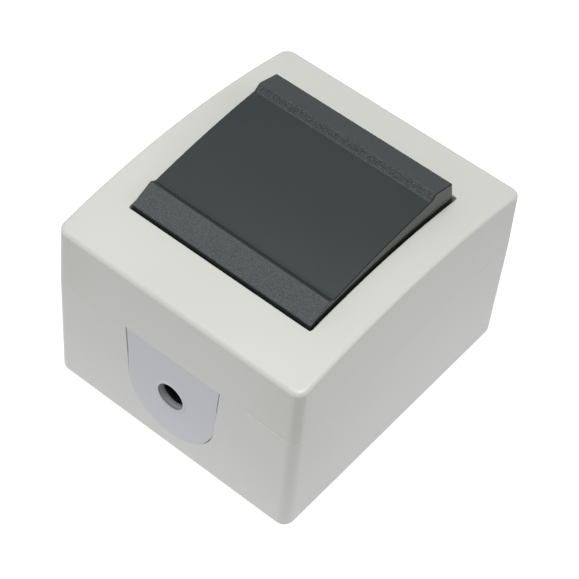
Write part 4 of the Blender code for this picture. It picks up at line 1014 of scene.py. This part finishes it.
def make_insert(settings, name, node, end, pierced):
    """A slide-in insert for the entry at this end (-1 or 1); the pierced one has the cable hole."""
    entry = settings.entry
    wall_inside = HALF_Y - BASE_WALL
    flange_front = wall_inside - SEAT
    flange_back = flange_front - FLANGE_THICKNESS
    top = settings.housing.parting_height + 0.3 * settings.housing.parting_gap

    def spread(outline, place):
        return across(outline, lambda z: end * (place(z) if callable(place) else place))

    def behind_face(depth):
        return lambda z: side_face(settings, z) - depth

    def fitted(more):
        """The slot's outline moved in by its gap and this much more; the top stays up to the cover."""
        extra = entry.loose_gap - entry.gap
        moved = inset(slot, lambda point: entry.gap + extra * looseness(entry, point) + more)
        return [(x, top if old[1] == top else z) for (x, z), old in zip(moved, slot)]

    slot = entry_outline(settings, 0.0, top, 10)
    rings = [spread(fitted(more), behind_face(back)) for more, back in quarter(EDGE_BREAK, BREAK_STEPS)]
    rings.append(spread(fitted(0.0), wall_inside + BITE))
    rings += [spread(inset(slot, SEAT), place) for place in (wall_inside, flange_back)]
    insert = new_piece(name, [rings])

    outline = entry_outline(settings, FLANGE_OVERLAP, TONGUE_TOP - SEAT)
    join(insert, [[spread(outline, place) for place in (flange_front, flange_back + BITE / 2)]])

    low, high = sorted((end * (flange_back + FLANGE_THICKNESS / 2),
                        end * (wall_inside + TONGUE_WIDTH)))
    half = entry.half_width - 2 * SEAT
    join(insert, [block((-half, low, top - RIB), (half, high, TONGUE_TOP))])

    outline = inset(entry_outline(settings, 0.0, top - RIB), FLANGE_OVERLAP)
    cut(insert, [[spread(outline, behind_face(INSERT_FACE)), spread(outline, flange_back - PAST)]])

    face_y = side_face(settings, entry.hole_height)
    centre = (0.0, entry.hole_height)
    half_width = (entry.bead_width + BITE) / 2
    radius = entry.hole_radius
    middle = radius + entry.bead_width - half_width
    profile = [(middle - half_width, -BITE), (middle + half_width, -BITE)]
    for out, rise in arc((0.0, 0.0), 1.0, 0.0, pi, BEAD_STEPS):
        profile.append((middle + half_width * out, entry.bead_height * rise))
    bead = [spread(circle(reach, FINE_ROUND, centre), face_y + out) for reach, out in profile]
    join(insert, [bead], closed=True)

    depth = INSERT_FACE + PAST if pierced else INSERT_FACE - MEMBRANE
    wide = radius + entry.groove
    groove_from, groove_to = 0.00015, 0.00040
    steps = ((radius, -PAST), (radius, groove_from), (wide, groove_from), (wide, groove_to),
             (radius, groove_to), (radius, depth))
    cut(insert, [[spread(circle(reach, FINE_ROUND, centre), face_y - inward)
                  for reach, inward in steps]])

    def hole_wall_shade(face):
        """How much painted shade the hole's wall gets: most in its groove."""
        out = hypot(face.center.x, face.center.z - entry.hole_height)
        if out > wide + BITE / 2 or abs(face.normal.y) > 0.5:
            return 0.0
        return 1.0 if out > radius + BITE / 2 else 0.37

    # Painted shade on the cable hole's wall, darkest in its groove.
    write_values(insert, "inside", hole_wall_shade)
    dress(insert, node, insert_finish(settings.finish))


# Rocker


def rocker_outline(housing, rocker):
    """The rocker's side view about its pivot, level: end faces, lips, ridges and the curved panel."""
    foot = housing.opening_y - rocker.end_gap - rocker.skirt * sin(rocker.tilt)
    foot /= cos(rocker.tilt)
    shoulder = foot - (rocker.shoulder - rocker.skirt) * tan(rocker.tilt)
    crest = shoulder - rocker.lip
    panel_end = crest - rocker.step
    radius = (panel_end**2 + rocker.panel_rise**2) / (2 * rocker.panel_rise)
    half_angle = asin(panel_end / radius)
    centre = (0.0, rocker.panel_edge + rocker.panel_rise - radius)
    right = [(foot, rocker.skirt, 0.0), (shoulder, rocker.shoulder, rocker.shoulder_round),
             (crest, rocker.crest, rocker.crest_round),
             (panel_end, rocker.panel_edge, rocker.foot_round)]
    panel = arc(centre, radius, pi / 2 - half_angle, 2 * half_angle, PANEL_STEPS)[1:-1]
    left = [(-y, z, round_) for y, z, round_ in reversed(right)]
    return rounded(right + [(y, z, 0.0) for y, z in panel] + left, RIDGE_STEPS), panel_end


def make_rocker(settings):
    housing = settings.housing
    rocker = settings.rocker
    half_x = housing.opening_x - rocker.side_gap
    outline, panel_end = rocker_outline(housing, rocker)
    rounds = list(quarter(rocker.side_round, EDGE_STEPS))
    rings = []
    for side in (-1, 1):
        for inward, back in rounds[::-side]:
            x = side * (half_x - back)
            rings.append([Vector((x, y, z)) for y, z in inset(outline, inward)])
    piece = new_piece("rocker_moulding", [rings])

    foot = outline[0][0] - rocker.wall
    shoulder = foot - rocker.wall / 2
    ceiling = rocker.panel_edge - rocker.wall
    knee = shoulder - rocker.lip / 2
    inside_x = half_x - rocker.wall
    corners = [(foot, rocker.skirt - PAST), (shoulder, ceiling - rocker.wall / 2), (knee, ceiling)]
    corners += [(-y, z) for y, z in reversed(corners)]
    cut(piece, [prism(corners, -inside_x, inside_x, along_x=True)])

    roof = ceiling + BITE
    rib_x, rib_y, rib_low = 0.0080, 0.0072, 0.0025
    near, hook, barb, hook_x = 0.0078, -0.0025, 0.0008, 0.0050
    corners = ((near, roof), (near, hook), (near - barb, hook), (near, hook - barb),
               (near + RIB, hook - barb), (near + RIB, roof))
    inside = []
    for side in (-1, 1):
        low = side * rib_x - RIB / 2
        inside.append(block((low, -rib_y, rib_low), (low + RIB, rib_y, roof)))
        low, high = sorted((side * (knee - 2 * RIB), side * (knee - RIB)))
        reach = inside_x + BITE
        inside.append(block((-reach, low, roof - 2 * RIB), (reach, high, roof)))
        inside.append(prism([(side * y, z) for y, z in corners], -hook_x, hook_x, along_x=True))
    join(piece, inside)

    upward, sideways, margin = 0.25, 0.9, 0.0005

    def on_top(face):
        return face.normal.z > upward and face.center.z > rocker.shoulder - margin

    def on_slope(face):
        return on_top(face) and 0.0 < abs(face.center.y) - panel_end < rocker.step

    def grain_and_painted_light(face):
        """Grain, with painted light and shade: the near lip fully grained, the near slope in the
        panel's darker colour as painted shade, the far lip and slope painted darker than the near lip,
        the far lip with less grain, and the far slope, which faces the light, with the strongest grain
        and speckle as painted glints.
        """
        if not on_top(face) or abs(face.center.y) < panel_end - 0.0001:
            return 0.0
        if face.center.y < 0:
            return 0.0 if on_slope(face) else 1.0
        return 1.4 if on_slope(face) else 0.6

    def edge_lines_and_crease_shade(face):
        """Dark lines along the side edges, and painted shade in the crease at the foot of the near
        ridge.
        """
        slanted = upward < abs(face.normal.x) <= sideways
        if slanted and face.center.z > rocker.shoulder - 2 * margin and face.center.y > -panel_end:
            return 1.0
        # Painted shade on the near slope, in the crease below the near ridge.
        near = on_top(face) and -margin < -face.center.y - panel_end < rocker.step + 0.6 * margin
        return 0.40 * min(1.0, face.normal.y / 0.6)**2 if near and face.normal.y > 0 else 0.0

    # The grained value carries the grain, and painted light and shade on the top.
    write_values(piece, "grained", grain_and_painted_light)
    # Marks the sides, whose darker colour is painted shade from the gap beside the rocker.
    write_values(piece, "side", lambda face: float(abs(face.normal.x) > sideways))
    write_values(piece, "edge", edge_lines_and_crease_shade)
    piece.data.transform(tilted(rocker))
    dress(piece, "rocker", rocker_plastic(settings.finish))


def tilted(rocker):
    """From a level place about the pivot to where the rocker rests."""
    return Matrix.Translation((0.0, 0.0, rocker.pivot_height)) @ Matrix.Rotation(rocker.tilt, 4, "X")


# Screws, spring and seals


def geometry_tree(name, **inputs):
    """A geometry group that is given a host and a finish beside its sizes, and returns a mesh."""
    ends = {"Host": "NodeSocketGeometry", **inputs, "Finish": "NodeSocketMaterial"}
    return node_group(name, ends, {"Mesh": "NodeSocketGeometry"}, "GeometryNodeTree")


def point_place(tree):
    """The X, Y and Z of the points in a geometry group."""
    place = add_node(tree, "GeometryNodeInputPosition").outputs[0]
    return add_node(tree, "ShaderNodeSeparateXYZ", Vector=place).outputs


def place_points(tree, geometry, **parts):
    """Moves the points of a mesh or curve to a place given by its X, Y and Z."""
    place = add_node(tree, "ShaderNodeCombineXYZ", **parts).outputs[0]
    return add_node(tree, "GeometryNodeSetPosition", Geometry=geometry, Position=place).outputs[0]


def painted(tree, geometry, given):
    """Every tree ends in plain mesh with its material."""
    real = add_node(tree, "GeometryNodeRealizeInstances", Geometry=geometry).outputs[0]
    paint = add_node(tree, "GeometryNodeSetMaterial", Geometry=real, Material=given["Finish"])
    return (paint.outputs[0],)


def apply_tree(piece, tree, **inputs):
    """Runs a geometry tree on a piece with these named inputs, and keeps the result as plain mesh."""
    modifier = piece.modifiers.new("build", "NODES")
    modifier.node_group = tree
    for item in tree.interface.items_tree:
        key = item.name.replace(" ", "_")
        if item.item_type == "SOCKET" and item.in_out == "INPUT" and key in inputs:
            modifier[item.identifier] = inputs[key]
    piece.update_tag()
    settle(piece)
    mend = bmesh.new()
    mend.from_mesh(piece.data)
    bmesh.ops.remove_doubles(mend, verts=mend.verts[:], dist=1e-6)
    bmesh.ops.dissolve_degenerate(mend, edges=mend.edges[:], dist=1e-7)
    bmesh.ops.recalc_face_normals(mend, faces=mend.faces[:])
    mend.to_mesh(piece.data)
    mend.free()


@geometry_tree("threaded_shank", Length=0.012, Radius=0.00145, Depth=0.0003, Pitch=0.001, Rows=120)
def thread_tree(tree, given):
    """Adds a threaded shank, from the origin down, to the screw head that it is given."""
    grid = add_node(tree, "GeometryNodeMeshGrid", Size_X=1.0, Size_Y=1.0, Vertices_X=given["Rows"],
                    Vertices_Y=THREAD_ROUND + 1).outputs["Mesh"]
    spot = point_place(tree)
    down = maths(tree, "ADD", spot["X"], 0.5)
    round_ = maths(tree, "ADD", spot["Y"], 0.5)
    depth = times(tree, down, given["Length"])
    turns = maths(tree, "DIVIDE", depth, given["Pitch"])
    phase = maths(tree, "FRACT", maths(tree, "ADD", turns, round_))
    ridge = maths(tree, "ABSOLUTE", times_plus(tree, phase, 2.0, -1.0))
    ridge = remap(tree, ridge, 0.25, 0.90, 0.0, 1.0)
    run_in = remap(tree, turns, 0.3, 1.3, 0.0, 1.0)
    left = maths(tree, "SUBTRACT", given["Length"], depth)
    tip = remap(tree, maths(tree, "DIVIDE", left, given["Radius"]), 0.0, 1.2, 0.30, 1.0)
    core = maths(tree, "SUBTRACT", given["Radius"], given["Depth"])
    crest = times(tree, times(tree, ridge, run_in), given["Depth"])
    radius = times(tree, maths(tree, "ADD", core, crest), tip)
    inner = times(tree, maths(tree, "GREATER_THAN", down, 1e-5),
                  maths(tree, "LESS_THAN", down, 1.0 - 1e-5))
    radius = times(tree, radius, inner)
    turn = times(tree, round_, tau)
    moved = place_points(
        tree, grid, X=times(tree, radius, maths(tree, "COSINE", turn)),
        Y=times(tree, radius, maths(tree, "SINE", turn)), Z=times(tree, depth, -1.0))
    closed = add_node(tree, "GeometryNodeMergeByDistance", Geometry=moved, Distance=1e-6)
    both = add_node(tree, "GeometryNodeJoinGeometry")
    tree.links.new(closed.outputs[0], both.inputs[0])
    tree.links.new(given["Host"], both.inputs[0])
    return painted(tree, both.outputs[0], given)


@geometry_tree("closed_spring", Radius=0.0017, Height=0.005, Wire=0.00045, Turns=5.0)
def spring_tree(tree, given):
    """A compression spring up the Z axis from the origin, with its end turns closed."""
    coil = add_node(
        tree, "GeometryNodeCurveSpiral", Resolution=36, Rotations=given["Turns"],
        Start_Radius=given["Radius"], End_Radius=given["Radius"], Height=1.0).outputs[0]
    along = add_node(tree, "GeometryNodeSplineParameter").outputs["Factor"]
    spot = point_place(tree)
    rise = remap(tree, along, 0.14, 0.86, 0.0, 1.0)
    lift = times(tree, maths(tree, "SUBTRACT", along, 0.5), 0.16)
    level = times_plus(tree, rise, 0.84, maths(tree, "ADD", lift, 0.08))
    moved = place_points(tree, coil, X=spot["X"], Y=spot["Y"],
                         Z=times(tree, level, given["Height"]))
    wire = add_node(tree, "GeometryNodeCurvePrimitiveCircle", Resolution=12,
                    Radius=times(tree, given["Wire"], 0.5)).outputs[0]
    body = add_node(tree, "GeometryNodeCurveToMesh", Curve=moved, Profile_Curve=wire, Fill_Caps=True)
    return painted(tree, body.outputs[0], given)


@geometry_tree(
    "seal_ring", Half_X=0.01, Half_Y=0.01, Corner=0.001, Width=0.001, Height=0.001, Level=0.0)
def seal_tree(tree, given):
    """A seal of rounded section run round a rounded rectangle, with two lips along its top."""
    def squared(value, size):
        """Pushes a circle out towards a square of this size with soft corners."""
        bulge = maths(tree, "POWER", maths(tree, "ABSOLUTE", value), 0.55)
        return times(tree, times(tree, maths(tree, "SIGN", value), bulge), times(tree, size, 0.5))

    path = add_node(
        tree, "GeometryNodeCurvePrimitiveQuadrilateral", Width=times(tree, given["Half X"], 2.0),
        Height=times(tree, given["Half Y"], 2.0)).outputs[0]
    bent = add_node(tree, "GeometryNodeFilletCurve", {"mode": "POLY"}, Curve=path, Count=10,
                    Radius=given["Corner"]).outputs[0]
    level = add_node(tree, "ShaderNodeCombineXYZ", Z=given["Level"]).outputs[0]
    lifted = add_node(tree, "GeometryNodeSetPosition", Geometry=bent, Offset=level).outputs[0]
    section = add_node(tree, "GeometryNodeCurvePrimitiveCircle", Resolution=32, Radius=1.0)
    spot = point_place(tree)
    wave = maths(tree, "COSINE", times(tree, spot["X"], tau))
    dent = times(tree, maths(tree, "ADD", wave, 1.0), 0.05)
    flute = maths(tree, "SUBTRACT", 1.0, dent)
    profile = place_points(
        tree, section.outputs[0], X=squared(spot["X"], given["Width"]),
        Y=times(tree, squared(spot["Y"], given["Height"]), flute))
    body = add_node(tree, "GeometryNodeCurveToMesh", Curve=lifted, Profile_Curve=profile)
    return painted(tree, body.outputs[0], given)


def screw_head(name, fasteners):
    """A pan head with a cross recess; its underside is at the origin."""
    radius, height = fasteners.head_radius, fasteners.head_height
    side, pan, chamfer, neck, root = 0.0008, 0.0011, 0.00012, 0.0013, 0.0002
    profile = [(side, -root), (neck, 0.0), (radius - chamfer, 0.0), (radius, chamfer)]
    for out, rise in arc((0.0, 0.0), 1.0, 0.0, pi / 2, PAN_STEPS):
        profile.append((radius - pan + pan * out, side + (height - side) * rise))
    head = new_piece(name, [turned(profile)])
    rings = []
    for width, reach, level in ((0.00032, 0.0009, height - pan), (0.00042, 0.0016, height + PAST)):
        arm = ((width, width), (width, reach), (-width, reach))
        plus = []
        for _ in range(4):
            plus += arm
            arm = [(-y, x) for x, y in arm]
        rings.append(raised(plus, level))
    cut(head, [rings])
    return head


def make_screws(settings):
    """Every screw stands where its solid does: the same axis, seat and tip."""
    fasteners = settings.fasteners
    steel = zinc_plated_steel(settings.finish)
    coarse = (fasteners.coarse_pitch, fasteners.thread_depth)
    fine = (fasteners.fine_pitch, fasteners.thread_depth * 0.6)
    groups = (("cover_screw", 2, coarse), ("mechanism_screw", 2, coarse), ("terminal_screw", 3, fine))
    for group, count, (pitch, depth) in groups:
        for index in range(1, count + 1):
            node = f"{group}_{index}"
            low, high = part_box(node)
            middle = (low + high) / 2
            seat = high.z - fasteners.head_height
            size = seat - low.z
            screw = screw_head(f"{node}_threaded", fasteners)
            apply_tree(
                screw, thread_tree(), Length=size, Radius=fasteners.screw_radius, Depth=depth,
                Pitch=pitch, Rows=int(size / pitch * ROWS_PER_TURN) + 2, Finish=steel)
            turn = Matrix.Rotation(radians(37 * index + 11 * len(group)), 4, "Z")
            screw.data.transform(Matrix.Translation((middle.x, middle.y, seat)) @ turn)
            dress(screw, node, steel)


def make_spring(settings):
    """The spring in the cradle's stem, short enough to leave the plunger room to rise."""
    fasteners = settings.fasteners
    half_wire = fasteners.spring_wire / 2
    steel = metal("spring_steel", settings.finish.steel, 0.00010, 0.22, 0.36)
    spring = new_piece("plunger_spring_wound", [])
    foot, seat = -0.0032, 0.0006
    low = foot + half_wire
    high = seat - half_wire
    apply_tree(
        spring, spring_tree(), Radius=fasteners.spring_radius - half_wire, Height=high - low,
        Wire=fasteners.spring_wire, Turns=fasteners.spring_turns, Finish=steel)
    spring.data.transform(tilted(settings.rocker) @ Matrix.Translation((0.0, 0.0, low)))
    dress(spring, "plunger_spring", steel)


def make_seals(settings):
    """Each seal runs round its solid's box, with its own corner radius and wall."""
    black = rubber(settings.finish)
    for node, corner, wall in (("cover_gasket", 0.0005, 0.0008), ("splash_seal", 0.0015, 0.0014)):
        low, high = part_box(node)
        seal = new_piece(f"{node}_ring", [])
        apply_tree(
            seal, seal_tree(), Half_X=high.x - wall / 2, Half_Y=high.y - wall / 2,
            Corner=corner + wall / 2, Width=wall, Height=high.z - low.z,
            Level=(high.z + low.z) / 2, Finish=black)
        dress(seal, node, black)


def dress_solids(settings):
    """Materials for the solids whose shape stays: the mechanism's inner pieces."""
    finish = settings.finish
    cream = moulded_plastic(
        "mechanism_cream", finish.mechanism, finish.grain_size, 0.03, 0.46, 0.56, 0.30)
    white = moulded_plastic(
        "cradle_natural_white", finish.cradle, finish.grain_size, 0.01, 0.40, 0.48, 0.20)
    brass = metal("rolled_brass", finish.brass, 0.00010, 0.28, 0.42)
    silver = metal("contact_silver", finish.silver, 0.00008, 0.18, 0.30)
    finishes = (
        (cream, ("mechanism_body", "mechanism_frame")), (white, ("rocker_cradle", "plunger")),
        (brass, ("common_strip", "switched_strip_1", "switched_strip_2", "contact_arm")),
        (silver, ("fixed_contact_1", "fixed_contact_2", "moving_contact_1", "moving_contact_2")),
        (zinc_plated_steel(finish), ("clamp_washer_1", "clamp_washer_2", "clamp_washer_3")),
    )
    for material, nodes in finishes:
        for node in nodes:
            solid = frame["nodes"][node]
            solid.data.materials.clear()
            solid.data.materials.append(material)


# Stage


def make_floor(stage):
    """A pale floor that gives soft light back to the box, more beside it than further off."""
    half = stage.floor_size / 2
    floor = new_piece("floor", [prism(rectangle(half, half), -0.002, -0.00002)])
    material, tree, surface = new_finish("pale_floor")
    paint = drifting(tree, (0.33, 0.33, 0.33), Drift=0.01, Drift_Size=0.15, Speckle=0.004,
                     Speckle_Size=0.002)
    feed(tree, surface.inputs["Base Color"], paint["Colour"])
    surface.inputs["Roughness"].default_value = 0.9
    seen = add_node(tree, "ShaderNodeLightPath").outputs["Is Camera Ray"]
    away = add_node(tree, "ShaderNodeVectorMath", {"operation": "LENGTH"}, Vector=own_place(tree))
    glow = remap(tree, away.outputs["Value"], 0.05, 0.12, stage.floor_near, stage.floor_far)
    strength = remap(tree, seen, 0.0, 1.0, glow, 0.90)
    tint = blend(tree, seen, (0.94, 0.93, 1.0, 1.0), (0.96, 0.965, 1.0, 1.0))
    feed(tree, surface.inputs["Emission Strength"], strength)
    feed(tree, surface.inputs["Emission Color"], tint)
    floor.data.materials.append(material)


def make_light(name, place, size, power, tint):
    """A soft light that looks at the middle of the switch."""
    lamp = bpy.data.lights.new(name, "AREA")
    lamp.shape = "RECTANGLE"
    lamp.size, lamp.size_y = size
    lamp.energy = power
    lamp.color = tint
    light = bpy.data.objects.new(name, lamp)
    light.location = place
    light.rotation_mode = "QUATERNION"
    middle = Vector((0.0, 0.0, 0.03))
    light.rotation_quaternion = (middle - Vector(place)).to_track_quat("-Z", "Y")
    bpy.context.scene.collection.objects.link(light)


def make_stage(settings):
    stage = settings.stage
    scene = bpy.context.scene
    scene.view_settings.view_transform = "Standard"
    world = bpy.data.worlds.new("even_sky")
    world.use_nodes = True
    sky = world.node_tree.nodes["Background"]
    sky.inputs["Color"].default_value = (1.0, 1.0, 1.0, 1.0)
    sky.inputs["Strength"].default_value = stage.sky
    scene.world = world
    make_floor(stage)
    warm, plain = (1.0, 1.0, 0.98), (1.0, 1.0, 1.0)
    make_light("overhead_key", (0.02, -0.17, 0.93), (0.45, 0.45), stage.key, warm)
    make_light("left_light", (-0.74, -0.54, 0.18), (0.60, 0.28), stage.left, plain)
    make_light("right_light", (0.67, 0.43, 0.36), (0.26, 0.35), stage.right, plain)

    camera_data = bpy.data.cameras.new("camera")
    camera_data.sensor_width = 36.0
    camera_data.lens = stage.lens
    camera_data.clip_start = 0.01
    camera = bpy.data.objects.new("camera", camera_data)
    sine, cosine = sin(stage.azimuth), cos(stage.azimuth)
    back = Vector((sine * cos(stage.elevation), -cosine * cos(stage.elevation), sin(stage.elevation)))
    right = Vector((cosine, sine, 0.0))
    up = back.cross(right)
    rolled_right = cos(stage.roll) * right + sin(stage.roll) * up
    rolled_up = -sin(stage.roll) * right + cos(stage.roll) * up
    axes = Matrix((rolled_right, rolled_up, back)).transposed().to_4x4()
    camera.matrix_world = Matrix.Translation(stage.camera_place) @ axes
    scene.collection.objects.link(camera)
    scene.camera = camera


# Operators


class SWITCH_OT_base(bpy.types.Operator):
    """Build the base box with its cable entries, bosses and rear fixings"""

    bl_idname = "switch.base"
    bl_label = "Base Box"

    def execute(self, context):
        make_base(context.scene.light_switch)
        return {"FINISHED"}


class SWITCH_OT_cover(bpy.types.Operator):
    """Build the crowned cover with its opening, collar and tray"""

    bl_idname = "switch.cover"
    bl_label = "Cover"

    def execute(self, context):
        make_cover(context.scene.light_switch)
        return {"FINISHED"}


class SWITCH_OT_inserts(bpy.types.Operator):
    """Build the pierced and the closed cable insert"""

    bl_idname = "switch.inserts"
    bl_label = "Cable Inserts"

    def execute(self, context):
        settings = context.scene.light_switch
        make_insert(settings, "cable_insert_moulding", "cable_insert", -1, True)
        make_insert(settings, "blank_insert_moulding", "blank_insert", 1, False)
        return {"FINISHED"}


class SWITCH_OT_rocker(bpy.types.Operator):
    """Build the rocker with its grained lips and smooth panel"""

    bl_idname = "switch.rocker"
    bl_label = "Rocker"

    def execute(self, context):
        make_rocker(context.scene.light_switch)
        return {"FINISHED"}


class SWITCH_OT_screws(bpy.types.Operator):
    """Build the threaded screws of the cover, the frame and the terminals"""

    bl_idname = "switch.screws"
    bl_label = "Screws"

    def execute(self, context):
        make_screws(context.scene.light_switch)
        return {"FINISHED"}


class SWITCH_OT_spring(bpy.types.Operator):
    """Wind the plunger's spring"""

    bl_idname = "switch.spring"
    bl_label = "Plunger Spring"

    def execute(self, context):
        make_spring(context.scene.light_switch)
        return {"FINISHED"}


class SWITCH_OT_seals(bpy.types.Operator):
    """Lay the cover's gasket and the splash seal"""

    bl_idname = "switch.seals"
    bl_label = "Seals"

    def execute(self, context):
        make_seals(context.scene.light_switch)
        return {"FINISHED"}


class SWITCH_OT_mechanism(bpy.types.Operator):
    """Give the mechanism's solids their finishes"""

    bl_idname = "switch.mechanism"
    bl_label = "Mechanism Finishes"

    def execute(self, context):
        dress_solids(context.scene.light_switch)
        return {"FINISHED"}


class SWITCH_OT_stage(bpy.types.Operator):
    """Set up the floor, the lights and the camera"""

    bl_idname = "switch.stage"
    bl_label = "Stage"

    def execute(self, context):
        make_stage(context.scene.light_switch)
        return {"FINISHED"}


OPERATORS = (
    SWITCH_OT_base, SWITCH_OT_cover, SWITCH_OT_inserts, SWITCH_OT_rocker, SWITCH_OT_screws,
    SWITCH_OT_spring, SWITCH_OT_seals, SWITCH_OT_mechanism, SWITCH_OT_stage)


class SWITCH_PT_panel(bpy.types.Panel):
    """The switch's operators and settings"""

    bl_idname = "SWITCH_PT_panel"
    bl_label = "Surface Light Switch"
    bl_space_type = "VIEW_3D"
    bl_region_type = "UI"
    bl_category = "Light Switch"

    def draw(self, context):
        layout = self.layout
        for operator in OPERATORS:
            layout.operator(operator.bl_idname)
        settings = context.scene.light_switch
        for group in SwitchSettings.__annotations__:
            box = layout.box()
            box.label(text=group.capitalize())
            part = getattr(settings, group)
            for name in part.__annotations__:
                box.prop(part, name)


CLASSES = (
    HousingSettings, EntrySettings, RockerSettings, FastenerSettings, FinishSettings,
    StageSettings, SwitchSettings) + OPERATORS + (SWITCH_PT_panel,)


def register():
    for class_ in CLASSES:
        bpy.utils.register_class(class_)
    bpy.types.Scene.light_switch = bpy.props.PointerProperty(type=SwitchSettings)


def unregister():
    del bpy.types.Scene.light_switch
    for class_ in reversed(CLASSES):
        bpy.utils.unregister_class(class_)


def main():
    register()
    bpy.ops.switch.base()
    bpy.ops.switch.cover()
    bpy.ops.switch.inserts()
    bpy.ops.switch.rocker()
    bpy.ops.switch.screws()
    bpy.ops.switch.spring()
    bpy.ops.switch.seals()
    bpy.ops.switch.mechanism()
    bpy.ops.switch.stage()


if __name__ == "__main__":
    main()
